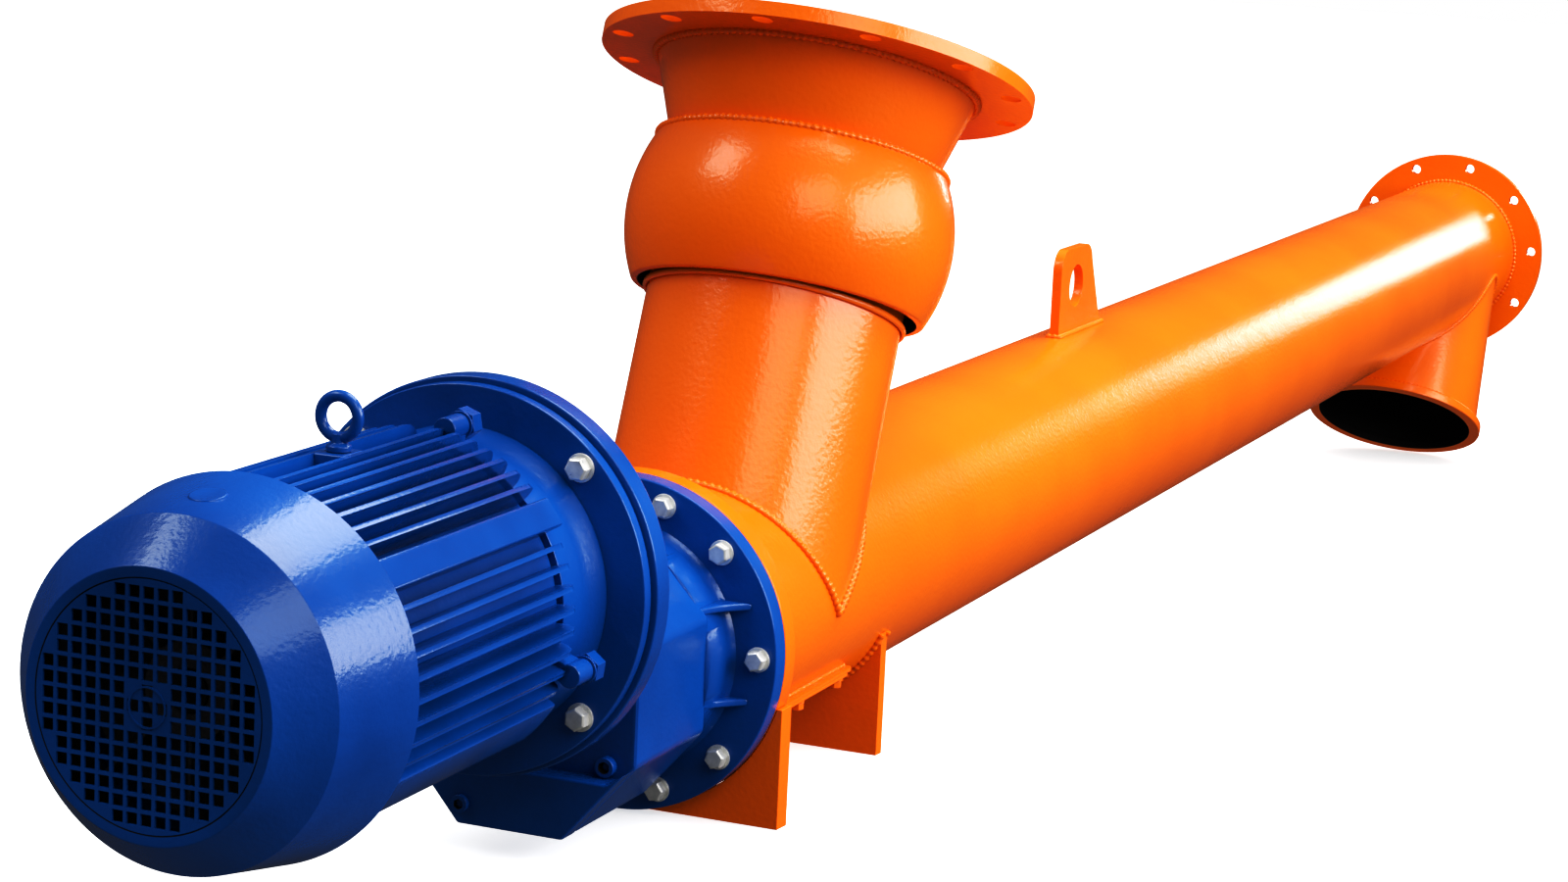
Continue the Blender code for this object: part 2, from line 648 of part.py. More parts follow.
def fan_cowl():
    """A sheet cowl with a flat front, and the perforated grille set into it."""
    outer = [(COWL_REAR_R, COWL_REAR), (COWL_EDGE_R, COWL_EDGE), (COWL_FACE_R, COWL_FACE)]
    bore = GRILLE_R + SEAT
    face = [(bore, COWL_FACE), (bore, COWL_FACE + COWL_T)]
    inner = [(COWL_FACE_R - COWL_T / 2, COWL_FACE + COWL_T), (COWL_EDGE_R - COWL_T, COWL_EDGE + COWL_T / 2)]
    inner += [(COWL_REAR_R - COWL_T, COWL_REAR)]
    turned("fan_cowl", outer + face + inner, BLUE, MOTOR, ALONG_X)
    grille = disc("fan_grille", GRILLE_R, COWL_FACE, COWL_FACE + COWL_T, BLUE, MOTOR, ALONG_X)
    combine(grille, grille_holes())


def grille_holes():
    """Cutters: square holes on a square grid, each one whole inside the round of the grille."""
    shell = bmesh.new()
    size = Matrix.Diagonal((COWL_T * 4, GRILLE_HOLE, GRILLE_HOLE, 1))
    reach = int(GRILLE_REACH / GRILLE_PITCH)
    for row in range(-reach, reach + 1):
        for column in range(-reach, reach + 1):
            across, up = column * GRILLE_PITCH, row * GRILLE_PITCH
            if math.hypot(across, up) < GRILLE_REACH:
                spot = Matrix.Translation((COWL_FACE, across, up))
                bmesh.ops.create_cube(shell, size=1.0, matrix=spot @ size)
    mesh = bpy.data.meshes.new("grille_holes")
    shell.to_mesh(mesh)
    shell.free()
    return place("grille_holes", mesh, None, MOTOR)


def fan():
    """The cooling fan on the motor's rear shaft end, which turns behind the grille."""
    low, high = FAN_FRONT - COWL_T, BODY_REAR - COWL_T
    disc("motor_shaft_end", SHAFT_END_R, low, high, STEEL, MOTOR, ALONG_X, SMALL_SIDES)
    bore = (SHAFT_END_R + SEAT) / math.cos(math.pi / SIDES)
    hub = ring("cooling_fan", FAN_HUB_R, bore, FAN_FRONT, FAN_BACK, BLACK, MOTOR, ALONG_X)
    web = ring("fan_web", FAN_R, FAN_HUB_R - WALL, FAN_BACK - FAN_WEB_T, FAN_BACK, None, MOTOR, ALONG_X)
    combine(hub, web, "UNION")
    low, high = FAN_FRONT + COWL_T, FAN_BACK - COWL_T
    half = FAN_BLADE_T / 2
    for i in range(FAN_BLADES):
        turn = (2 * math.pi * i / FAN_BLADES, 0, 0)
        name = "fan_blade_{}".format(i + 1)
        blade = box(name, (low, -half, FAN_HUB_R - COWL_T), (high, half, FAN_R), None, MOTOR, turn)
        combine(hub, blade, "UNION")


def eye_bolt():
    low, top = CORE_R, FIN_TIP_R + EYE_PAD_PROUD
    reach, wide = EYE_PAD_LENGTH / 2, EYE_PAD_WIDTH / 2
    pad = box("eye_bolt_pad", (EYE_X - reach, -wide, low), (EYE_X + reach, wide, top), BLUE, MOTOR)
    combine(pad, plate("body_space", fin_outline(), -2 * BODY_REAR, None, MOTOR, CROSSWISE))
    neck = EYE_CENTRE - EYE_RING_R + EYE_WIRE_R / 3
    shank = disc("eye_bolt", EYE_SHANK_R, top + SEAT, neck, BLUE, MOTOR, steps=SMALL_SIDES)
    shank.location = (EYE_X, 0, 0)
    bpy.ops.mesh.primitive_torus_add(
        major_segments=EYE_SIDES, minor_segments=WIRE_SIDES,
        major_radius=EYE_RING_R, minor_radius=EYE_WIRE_R,
    )
    torus = bpy.context.object
    hoop = place("eye_hoop", torus.data, None, MOTOR, ALONG_X, (EYE_X, 0, EYE_CENTRE))
    bpy.data.objects.remove(torus, do_unlink=True)
    combine(shank, hoop, "UNION")


def stand_on_floor():
    """Pitches the machine onto its feet, with the origin below the middle of its box."""
    ROOT.rotation_euler = (0, -PITCH, 0)
    bpy.context.view_layer.update()
    graph = bpy.context.evaluated_depsgraph_get()
    points = []
    for obj in PARTS.objects:
        if obj.type == "MESH":
            solid = obj.evaluated_get(graph)
            points += [solid.matrix_world @ vertex.co for vertex in solid.data.vertices]
    low = [min(point[i] for point in points) for i in range(3)]
    high = [max(point[i] for point in points) for i in range(3)]
    ROOT.location = (-(low[0] + high[0]) / 2, -(low[1] + high[1]) / 2, -low[2])


feeder_tube()
drive_end()
rear_foot()
hatch()
inlet()
outlet()
far_end()
lifting_lug()
auger()
gear_unit()
plug("oil_plug_side", (HOUSING_FRONT - SEAT, *SIDE_PLUG_AT), SIDE_PLUG_R, SIDE_PLUG_R / 2, SIDE_PLUG_DEPTH)
plug("oil_plug_front", (SUMP_FRONT - SEAT, *FRONT_PLUG_AT), FRONT_PLUG_R, FRONT_PLUG_R / 2, FRONT_PLUG_DEPTH)
motor_front()
motor_body()
rear_shield()
fan_cowl()
fan()
eye_bolt()
stand_on_floor()
for part in PARTS.objects:
    if part.type == "MESH":
        part.data.shade_smooth()
        part.data.set_sharp_from_angle(angle=SMOOTH_BELOW)
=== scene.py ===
# %% [markdown]
# A screw feeder carries powder or grain along a tube with a turning auger. This lesson dresses the
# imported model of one. The frame holds its solids at their true size, and each visible surface is
# made again here with rounder curves, soft edges, weld beads, bolts and enamel. It could be done by
# eye over a picture, but then nothing would fit, so every place is worked out from the frame.

# %% Open the frame
import json
import math

import bmesh
import bpy
from mathutils import Matrix, Vector


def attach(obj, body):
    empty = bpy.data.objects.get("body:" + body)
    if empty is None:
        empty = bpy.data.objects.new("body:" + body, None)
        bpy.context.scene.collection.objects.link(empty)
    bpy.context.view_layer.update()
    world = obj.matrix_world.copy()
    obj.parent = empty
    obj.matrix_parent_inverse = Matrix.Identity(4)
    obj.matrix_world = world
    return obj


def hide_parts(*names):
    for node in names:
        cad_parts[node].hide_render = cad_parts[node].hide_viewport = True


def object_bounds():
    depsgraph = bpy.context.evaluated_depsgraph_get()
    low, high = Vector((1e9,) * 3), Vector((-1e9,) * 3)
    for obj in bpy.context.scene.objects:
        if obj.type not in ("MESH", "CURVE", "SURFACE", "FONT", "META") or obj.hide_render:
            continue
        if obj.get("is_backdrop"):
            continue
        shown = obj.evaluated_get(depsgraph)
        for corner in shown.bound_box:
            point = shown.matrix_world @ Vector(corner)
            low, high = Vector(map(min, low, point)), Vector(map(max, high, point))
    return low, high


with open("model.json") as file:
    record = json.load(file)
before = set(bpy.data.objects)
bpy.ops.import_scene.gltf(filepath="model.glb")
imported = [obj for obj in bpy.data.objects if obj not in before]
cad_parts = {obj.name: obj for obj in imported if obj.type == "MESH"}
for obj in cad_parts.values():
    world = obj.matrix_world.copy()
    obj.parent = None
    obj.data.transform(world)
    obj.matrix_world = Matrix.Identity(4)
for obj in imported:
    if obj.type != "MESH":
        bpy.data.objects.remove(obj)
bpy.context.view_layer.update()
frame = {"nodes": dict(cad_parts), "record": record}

STILL = Matrix.Identity(4)
MERGE = 0.00001

# %% [markdown]
# The real machine is set out from a few axes: the tube, the motor shaft above it, the inlet neck,
# the ball that turns on the neck, and the outlet. Typing world coordinates for each piece would hide
# that, so each axis is a matrix here, found from the fan's joint, and a piece is drawn about its own
# axis and then moved there. X runs along the tube from the gear flange, and Z is up.

# %% Axes of the machine
spin = frame["record"]["behaviour"]["joints"][0]
SHAFT_DIRECTION = Vector(spin["axis"]).normalized()
PITCH = math.atan2(SHAFT_DIRECTION.z, SHAFT_DIRECTION.x)
FAN_X = -0.6320
MOTOR_RISE = 0.1013
NECK_X = 0.1720
NECK_TILT = math.radians(22.7)
BALL_CENTRE = 0.3200
BALL_TILT = math.radians(20.0)
MOUTH_X = 2.7133
MOUTH_Z = -0.2270
MOUTH_TILT = math.radians(30.9)


def shifted(x=0.0, y=0.0, z=0.0):
    return Matrix.Translation((x, y, z))


def tilted(angle, axis="Y"):
    return Matrix.Rotation(angle, 4, axis)


MOTOR = Matrix.Translation(Vector(spin["pos_m"]) - FAN_X * SHAFT_DIRECTION) @ tilted(-PITCH)
TUBE = MOTOR @ shifted(z=-MOTOR_RISE)
NECK = TUBE @ shifted(x=NECK_X) @ tilted(NECK_TILT)
BALL_X = NECK_X + BALL_CENTRE * math.sin(NECK_TILT)
BALL = TUBE @ shifted(x=BALL_X, z=BALL_CENTRE * math.cos(NECK_TILT)) @ tilted(BALL_TILT)
MOUTH = TUBE @ shifted(x=MOUTH_X, z=MOUTH_Z) @ tilted(MOUTH_TILT)
# A turned piece is drawn upright, and this lays its axis along the tube
LAID = tilted(math.pi / 2)
LYING = TUBE @ LAID
MOTOR_LYING = MOTOR @ LAID
# A flat outline of (across, up) points is drawn lying, and this stands it across the tube
ACROSS = Matrix.Rotation(math.pi / 2, 4, "Z") @ Matrix.Rotation(math.pi / 2, 4, "X")
# This stands an outline of (along, up) points along the tube
ALONG = Matrix.Rotation(math.pi / 2, 4, "X")
print("pitch of the tube", round(math.degrees(PITCH), 3), "degrees")

# %% [markdown]
# The camera stands ahead of the motor and to one side, a little above it, with a long lens. It could
# be aimed with a tracking constraint, but the place and the two directions below were worked out from
# edges of the machine whose real lengths are known, so they are set directly.

# %% Camera
CAMERA_FROM_TUBE = Vector((-2.50529, -1.138318, 0.53226))
CAMERA_BACK = Vector((-0.918386, -0.372929, 0.132256)).normalized()
CAMERA_UP = Vector((0.097257, 0.111241, 0.989023)).normalized()
LENS = 81.085
scene = bpy.context.scene
camera_data = bpy.data.cameras.new("camera")
camera_data.lens = LENS
camera = bpy.data.objects.new("camera", camera_data)
scene.collection.objects.link(camera)
right = CAMERA_UP.cross(CAMERA_BACK).normalized()
turn = Matrix((right, CAMERA_BACK.cross(right), CAMERA_BACK)).transposed().to_4x4()
camera.matrix_world = Matrix.Translation(TUBE.translation + CAMERA_FROM_TUBE) @ turn
scene.camera = camera
print("camera at", [round(value, 3) for value in camera.location])

# %% [markdown]
# A finish is a small network of shader nodes. Each one could be wired by hand in the editor, but the
# same few steps come back in every finish, so one helper adds a node with its inputs filled, others do
# sums and blend two tones by a factor, and two more start a finish and raise a relief on it.

# %% Helpers for node trees
def feed(tree, socket, value):
    """Fills an input with a value, or links another node's output to it."""
    if isinstance(value, bpy.types.NodeSocket):
        tree.links.new(value, socket)
    else:
        socket.default_value = value


def add(tree, kind, settings=None, **inputs):
    """Adds a node, with its settings and its inputs filled."""
    made = tree.nodes.new(kind)
    for name, value in (settings or {}).items():
        setattr(made, name, value)
    for name, value in inputs.items():
        feed(tree, made.inputs[name.replace("_", " ")], value)
    return made


def maths(tree, operation, *values):
    made = add(tree, "ShaderNodeMath", {"operation": operation})
    for socket, value in zip(made.inputs, values):
        feed(tree, socket, value)
    return made.outputs[0]


def times(tree, first, second):
    return maths(tree, "MULTIPLY", first, second)


def tones(tree, factor, stops):
    """A colour ramp through (place, colour) stops."""
    made = add(tree, "ShaderNodeValToRGB", Fac=factor)
    elements = made.color_ramp.elements
    while len(elements) < len(stops):
        elements.new(0.5)
    for element, (place, colour) in zip(elements, stops):
        element.position = place
        element.color = (*colour, 1.0)
    return made.outputs["Color"]


def between(tree, factor, low, high):
    return add(tree, "ShaderNodeMapRange", Value=factor, To_Min=low, To_Max=high).outputs[0]


def noise(tree, where, scale, detail):
    return add(tree, "ShaderNodeTexNoise", Vector=where, Scale=scale, Detail=detail).outputs[0]


def fresh(name):
    """A new material, its tree, its shader and the coordinates of the piece that wears it."""
    material = bpy.data.materials.new(name)
    material.use_nodes = True
    tree = material.node_tree
    where = add(tree, "ShaderNodeTexCoord").outputs["Object"]
    return material, tree, tree.nodes["Principled BSDF"], where


def set_shader(tree, shader, values):
    for name, value in values.items():
        feed(tree, shader.inputs[name], value)


def relief(tree, height, strength, depth):
    return add(tree, "ShaderNodeBump", Height=height, Strength=strength, Distance=depth).outputs[0]


print("helpers for node trees are ready")

# %% [markdown]
# The machine is sprayed with two gloss enamels, orange on the tube and blue on the drive. Wet enamel
# levels out but never fully, and dries with a fine dimpled skin that painters call orange peel, so a
# highlight breaks up at its edges. One flat colour with a gloss value looks like plastic. Here a slow
# noise drifts the tone, two finer ones raise the peel, and a clear coat carries the sharp highlight.

# %% Enamel
PEEL_SCALE = 240.0
SWELL_SCALE = 34.0
SWELL_SHARE = 0.8
DRIFT_SCALE = 5.0
PEEL_DEPTH = 0.0005
ENAMEL_ROUGHNESS = (0.23, 0.28)


def enamel(name, deep, light, peel):
    material, tree, shader, where = fresh(name)
    drift = noise(tree, where, DRIFT_SCALE, 4.0)
    fine = noise(tree, where, PEEL_SCALE, 2.0)
    swell = noise(tree, where, SWELL_SCALE, 2.0)
    skin = relief(tree, maths(tree, "ADD", fine, times(tree, swell, SWELL_SHARE)), peel, PEEL_DEPTH)
    set_shader(tree, shader, {
        "Base Color": tones(tree, drift, [(0.36, deep), (0.62, light)]),
        "Roughness": between(tree, drift, *ENAMEL_ROUGHNESS),
        "Specular IOR Level": 0.36,
        "Coat Weight": 0.28,
        "Coat Roughness": 0.09,
        "Coat IOR": 1.5,
        "Normal": skin,
        "Coat Normal": skin,
    })
    return material


ORANGE = enamel("orange_enamel", (0.84, 0.148, 0.0006), (0.90, 0.164, 0.0010), 0.62)
BLUE = enamel("blue_enamel", (0.0010, 0.050, 0.205), (0.0028, 0.080, 0.310), 0.42)
print("enamels", ORANGE.name, BLUE.name)

# %% [markdown]
# Bolts are zinc plated, the auger is bare mild steel, and the shaft end is turned. Plated metal is
# a soft grey mirror with cloudy stains, and worn steel shows fine lines the way it was rubbed. Both
# are a metal whose roughness is driven by noise. For the steel the noise is squeezed along one axis
# by a Mapping node, which draws it out into lines. The turned shaft end is made nearly black instead
# of bright steel, as painted shade behind the fan.

# %% Bare metals
GRAIN_DEPTH = 0.0003


def metal(name, dark, bright, roughness, scale, stretch=(1.0, 1.0, 1.0), strength=0.15, pure=1.0):
    material, tree, shader, where = fresh(name)
    drawn = add(tree, "ShaderNodeMapping", Vector=where, Scale=stretch).outputs[0]
    grain = noise(tree, drawn, scale, 5.0)
    set_shader(tree, shader, {
        "Base Color": tones(tree, grain, [(0.3, dark), (0.7, bright)]),
        "Roughness": between(tree, grain, *roughness),
        "Metallic": pure,
        "Normal": relief(tree, grain, strength, GRAIN_DEPTH),
    })
    return material


ZINC = metal("zinc_plate", (0.60, 0.60, 0.57), (0.86, 0.85, 0.80), (0.22, 0.42), 120.0, pure=0.55)
AUGER_STEEL = metal(
    "auger_steel", (0.24, 0.23, 0.22), (0.48, 0.47, 0.45), (0.30, 0.55), 60.0, (1, 6, 6), 0.3
)
# The shaft end's steel is nearly black: painted shade behind the fan, where turned steel would be bright
SHAFT_STEEL_WITH_PAINTED_SHADE = metal(
    "turned_steel_painted_shade", (0.06, 0.058, 0.055), (0.13, 0.12, 0.11), (0.4, 0.6), 90.0, (14, 1, 1)
)
print("metals", ZINC.name, AUGER_STEEL.name, SHAFT_STEEL_WITH_PAINTED_SHADE.name)

# %% [markdown]
# The fan and the ball's seat are moulded in black nylon and rubber, which is dull and faintly grained.
# The inside of the tube, the inlet and the spout gets a nearly black finish that stands for the scale
# that hot rolling leaves on steel and also for painted shade deep inside. The cowl's inside, which is
# really blue, and the plugs' sockets get it as painted shade alone. A plain dark grey would do for all
# of them, but a little grain costs one node and catches the light.

# %% Black mouldings, and scale and painted shade inside
def dull_black(name, colour, roughness):
    material, tree, shader, where = fresh(name)
    grain = noise(tree, where, 400.0, 3.0)
    lighter = tuple(value * 1.7 for value in colour)
    set_shader(tree, shader, {
        "Base Color": tones(tree, grain, [(0.3, colour), (0.7, lighter)]),
        "Roughness": between(tree, grain, roughness - 0.08, roughness + 0.08),
        "Specular IOR Level": 0.25,
        "Normal": relief(tree, grain, 0.2, GRAIN_DEPTH),
    })
    return material


NYLON = dull_black("black_nylon", (0.060, 0.060, 0.066), 0.50)
RUBBER = dull_black("seat_rubber", (0.012, 0.012, 0.012), 0.62)
# Near-black inside: scale and painted shade in tube, inlet and spout; only painted shade elsewhere
SCALE_AND_PAINTED_SHADE = dull_black("mill_scale_and_painted_shade", (0.006, 0.005, 0.0045), 0.70)
print("dull blacks", NYLON.name, RUBBER.name, SCALE_AND_PAINTED_SHADE.name)

# %% [markdown]
# Most of the machine is turned or rolled: flanges, cones, the ball, the cowl. A lathe shape is a
# profile of (radius, height) points swept about an axis. The Screw modifier does this too, but making
# the rings directly keeps the poles closed and the faces turned out, so that cuts and bevels work.

# %% Turned shapes
ROUND = 144
FINE = 192


def turned(profile, steps=ROUND, closed=True):
    """A mesh of the profile turned about Z. An open profile starts and ends on the axis."""
    shell = bmesh.new()
    rings = []
    for i in range(steps):
        angle = 2 * math.pi * i / steps
        across, aside = math.cos(angle), math.sin(angle)
        rings.append([shell.verts.new((r * across, r * aside, height)) for r, height in profile])
    spans = len(profile) if closed else len(profile) - 1
    for i, ring_verts in enumerate(rings):
        following = rings[(i + 1) % steps]
        for j in range(spans):
            k = (j + 1) % len(profile)
            shell.faces.new((ring_verts[j], following[j], following[k], ring_verts[k]))
    bmesh.ops.remove_doubles(shell, verts=shell.verts, dist=MERGE)
    bmesh.ops.recalc_face_normals(shell, faces=shell.faces)
    return shell


def ring(outer, inner, low, high, steps=ROUND):
    return turned([(outer, high), (outer, low), (inner, low), (inner, high)], steps)


def disc(radius, low, high, steps=ROUND):
    return turned([(0, high), (radius, high), (radius, low), (0, low)], steps, closed=False)


def arc(radius, start, end, count):
    """Points on a circle about the origin, between two angles."""
    angles = [start + (end - start) * i / (count - 1) for i in range(count)]
    return [(radius * math.cos(angle), radius * math.sin(angle)) for angle in angles]


sample = disc(0.1, 0, 0.01)
print("a disc has", len(sample.faces), "faces")
sample.free()

# %% [markdown]
# Plates, feet and the gear casting are flat outlines with a thickness. A curve with an extrude would
# make them, but a single many-sided face pushed through its thickness gives cleaner edges to round.

# %% Flat shapes
def plate(outline, low, high):
    """A mesh of a flat outline between two heights."""
    shell = bmesh.new()
    face = shell.faces.new([shell.verts.new((x, y, low)) for x, y in outline])
    pushed = bmesh.ops.extrude_face_region(shell, geom=[face])["geom"]
    points = [item for item in pushed if isinstance(item, bmesh.types.BMVert)]
    bmesh.ops.translate(shell, verts=points, vec=(0, 0, high - low))
    bmesh.ops.recalc_face_normals(shell, faces=shell.faces)
    return shell


def block(low, high):
    shell = bmesh.new()
    size, middle = Vector(high) - Vector(low), (Vector(high) + Vector(low)) / 2
    matrix = Matrix.Translation(middle) @ Matrix.Diagonal((*size, 1))
    bmesh.ops.create_cube(shell, size=1.0, matrix=matrix)
    return shell


def joined(*shells):
    """One mesh that holds several closed shapes."""
    whole = bmesh.new()
    for shell in shells:
        carrier = bpy.data.meshes.new("carrier")
        shell.to_mesh(carrier)
        shell.free()
        whole.from_mesh(carrier)
        bpy.data.meshes.remove(carrier)
    return whole


def moved(shell, matrix):
    shell.transform(matrix)
    return shell


print("flat shapes are ready")

# %% [markdown]
# A cut is a Boolean against a second mesh, and no real edge is perfectly sharp: plate is ground, a
# casting is rounded, and paint gathers on an edge and catches the light. So each piece is cut first,
# its coplanar faces are merged, and then a narrow Bevel runs along every edge that turns by more than
# the limit. Weighted normals keep the flats flat. The finished object sits at the origin, unturned,
# and its name is that of the node it stands for, with "_skin" after it.

# %% Finishing a piece
EDGE = 0.0008
SHARP = math.radians(22.0)
FLAT = math.radians(0.4)
INWARD = 0.3


def scene_object(name, mesh):
    made = bpy.data.objects.new(name, mesh)
    scene.collection.objects.link(made)
    return made


def solid(name, shell, place):
    shell.transform(place)
    mesh = bpy.data.meshes.new(name)
    shell.to_mesh(mesh)
    shell.free()
    return scene_object(name, mesh)


def apply_modifiers(made):
    graph = bpy.context.evaluated_depsgraph_get()
    mesh = bpy.data.meshes.new_from_object(made.evaluated_get(graph))
    made.modifiers.clear()
    old = made.data
    made.data = mesh
    bpy.data.meshes.remove(old)


def merge_faces(made):
    """Welds a piece's points and merges its coplanar faces."""
    shell = bmesh.new()
    shell.from_mesh(made.data)
    bmesh.ops.remove_doubles(shell, verts=shell.verts, dist=MERGE)
    bmesh.ops.dissolve_limit(shell, angle_limit=FLAT, verts=shell.verts, edges=shell.edges)
    shell.to_mesh(made.data)
    shell.free()


def combine(made, operation, shells):
    """Cuts or joins a piece with others, given as (mesh, place) pairs."""
    others = [solid("tool", shell, place) for shell, place in shells]
    for other in others:
        boolean = made.modifiers.new("tool", "BOOLEAN")
        boolean.operation = operation
        boolean.solver = "EXACT"
        boolean.object = other
    bpy.context.view_layer.update()
    apply_modifiers(made)
    for other in others:
        bpy.data.objects.remove(other, do_unlink=True)
    merge_faces(made)


def soften(made, width, segments=2):
    """Rounds every sharp edge, and shades the piece smooth between them."""
    if width:
        bevel = made.modifiers.new("edge", "BEVEL")
        bevel.width = width
        bevel.segments = segments
        bevel.limit_method = "ANGLE"
        bevel.angle_limit = SHARP
        bevel.miter_outer = "MITER_ARC"
    made.data.shade_smooth()
    weighted = made.modifiers.new("shading", "WEIGHTED_NORMAL")
    weighted.keep_sharp = True
    if not width:
        made.data.set_sharp_from_angle(angle=SHARP)
    bpy.context.view_layer.update()
    apply_modifiers(made)


def keep(made, finish, nodes=(), body="feeder"):
    """Gives a piece its finish, ties it to its body and hides the nodes that it stands for."""
    made.data.materials.clear()
    made.data.materials.append(finish)
    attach(made, body)
    if nodes:
        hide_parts(*nodes)
    print(made.name, len(made.data.polygons), "faces")
    return made


def give_scale_and_shade(made, place):
    """Gives the faces that look at a frame's Z axis the near-black inside: scale and painted shade."""
    made.data.materials.append(SCALE_AND_PAINTED_SHADE)
    back = place.inverted()
    for face in made.data.polygons:
        middle, facing = back @ face.center, back.to_3x3() @ face.normal
        if middle.x * facing.x + middle.y * facing.y < -INWARD * math.hypot(middle.x, middle.y):
            face.material_index = 1


def absorb(made, *others):
    """Takes the meshes of other pieces into one piece."""
    whole = bmesh.new()
    whole.from_mesh(made.data)
    for other in others:
        whole.from_mesh(other.data)
        bpy.data.objects.remove(other, do_unlink=True)
    whole.to_mesh(made.data)
    whole.free()


def piece(node, shell, place, cuts=(), edge=EDGE, finish=ORANGE, segments=2, body="feeder", scale_and_shade_inside=False):
    """A cut, softened and finished piece that stands for one node."""
    made = solid(node + "_skin", shell, place)
    if cuts:
        combine(made, "DIFFERENCE", cuts)
    soften(made, edge, segments)
    keep(made, finish, (node,), body)
    # Inner faces get the near-black that stands for scale and painted shade inside
    if scale_and_shade_inside:
        give_scale_and_shade(made, place)
    return made


print("finishing steps are ready")

# %% [markdown]
# The body of the feeder is a steel tube, 219 mm across and 3 m long, with a hole under the inlet
# neck, one over the outlet and one at the clean-out hatch. It could stay a plain cylinder with the
# neck pushed through it, but one can look down the inlet and up the outlet, so the holes are cut.

# %% The tube
TUBE_R = 0.1095
WALL = 0.0050
# Solids that touch are modelled this far apart, and cutters reach well past what they cut
SEAT = 0.0003
REACH = 0.4
TUBE_START = 0.0008
TUBE_LENGTH = 2.9880
MOUTH_R = 0.1205
SPOUT_TOP_R = 0.1065
SPOUT_LENGTH = 0.3000
HATCH_START = 0.0210
HATCH_END = 0.2370
HATCH_LAND = 0.0120
HATCH_JOINT = -0.0630
HATCH_TOP = -0.0600


def spout_radius(height):
    return MOUTH_R - (MOUTH_R - SPOUT_TOP_R) * height / SPOUT_LENGTH


def tube_space():
    return (disc(TUBE_R + SEAT, -REACH, TUBE_LENGTH + REACH), LYING)


def spout_bore():
    low, high = MOUTH_R - WALL - 0.001, SPOUT_TOP_R - WALL - 0.001
    return turned([(0, SPOUT_LENGTH), (high, SPOUT_LENGTH), (low, 0), (0, 0)], closed=False)


hatch_hole = block(
    (HATCH_START + HATCH_LAND, -REACH, -REACH), (HATCH_END - HATCH_LAND, REACH, HATCH_JOINT)
)
holes = [(disc(TUBE_R - WALL, 0, REACH), NECK), (spout_bore(), MOUTH), (hatch_hole, TUBE)]
tube = ring(TUBE_R, TUBE_R - WALL, TUBE_START, TUBE_LENGTH, FINE)
piece("feeder_tube", tube, LYING, holes, 0, scale_and_shade_inside=True)

# %% [markdown]
# The drive end of the tube is welded into a thick round plate, and a flat foot is welded under it. A
# second foot stands behind the hatch. Both are flame-cut plate, so their faces are flat and their
# edges are just dressed. Each foot is an outline cut by the tube and by the floor that it stands on.

# %% Drive flange and feet
DRIVE_FLANGE_R = 0.1347
PLATE_T = 0.0200
FOOT_HALF_WIDTH = 0.1335
FOOT_TOP = -0.0400
FLOOR_DROP = 0.1370
REAR_FOOT_X = 0.3010
REAR_FOOT_T = 0.0130
REAR_FOOT_HALF = 0.1005
REAR_FOOT_TOP = -0.0450


def below_floor():
    return (block((-3, -1, -1), (3, 1, 0)), STILL)


def foot(node, half, top, start, thickness, cuts):
    low = -FLOOR_DROP - (start + thickness) * math.tan(PITCH) - WALL
    outline = [(-half, low), (half, low), (half, top), (-half, top)]
    shell = plate(outline, start, start + thickness)
    return piece(node, shell, TUBE @ ACROSS, [below_floor(), *cuts], 0.0012)


drive_ring = ring(DRIVE_FLANGE_R, TUBE_R + SEAT, SEAT, PLATE_T)
piece("drive_end_flange", drive_ring, LYING, edge=0.0013)
flange_space = (disc(DRIVE_FLANGE_R + SEAT, -REACH, REACH), LYING)
foot("front_foot", FOOT_HALF_WIDTH, FOOT_TOP, SEAT, PLATE_T - SEAT, [flange_space])
foot("rear_foot", REAR_FOOT_HALF, REAR_FOOT_TOP, REAR_FOOT_X, REAR_FOOT_T, [tube_space()])

# %% [markdown]
# A clean-out hatch closes the bottom of the tube between the feet: a curved cover with a wing on each
# side, bolted up to two flat bars that are welded along the tube. The cover's solid already has the
# right shape, so a copy of it is merged from loose triangles, smoothed and given soft edges.

# %% Hatch
HATCH_HALF_WIDTH = 0.1002
BAR_CORNER = 0.0060
BAR_INNER = 0.0500


def softened(node, edge, finish):
    """A welded and softened copy of a node's own solid."""
    made = scene_object(node + "_skin", frame["nodes"][node].data.copy())
    merge_faces(made)
    soften(made, edge)
    return keep(made, finish, (node,))


def bar_outline(side):
    """The bar seen from above, with its two outer corners rounded."""
    inner, outer = BAR_INNER, HATCH_HALF_WIDTH
    corner = arc(BAR_CORNER, 0, math.pi / 2, 6)
    points = [(HATCH_START, inner), (HATCH_END, inner)]
    points += [(HATCH_END - BAR_CORNER + x, outer - BAR_CORNER + y) for x, y in corner]
    points += [(HATCH_START + BAR_CORNER - y, outer - BAR_CORNER + x) for x, y in corner]
    return [(x, side * y) for x, y in points]


for side, hand in ((-1, "right"), (1, "left")):
    bar = plate(bar_outline(side), HATCH_JOINT, HATCH_TOP)
    piece("hatch_bar_" + hand, bar, TUBE, [tube_space()], 0.0005)
softened("hatch_cover", 0.0005, ORANGE)

# %% [markdown]
# Material falls in through a leaning neck, a ball shell that can be turned to meet the hopper, a
# short cone and a flat flange. The ball is spun sheet, so its outline is a true arc. A sphere cut at
# two heights would do, but a turned profile also gives it a wall, a lip at the top and a round edge
# below, where a dark gap shows against the seat.

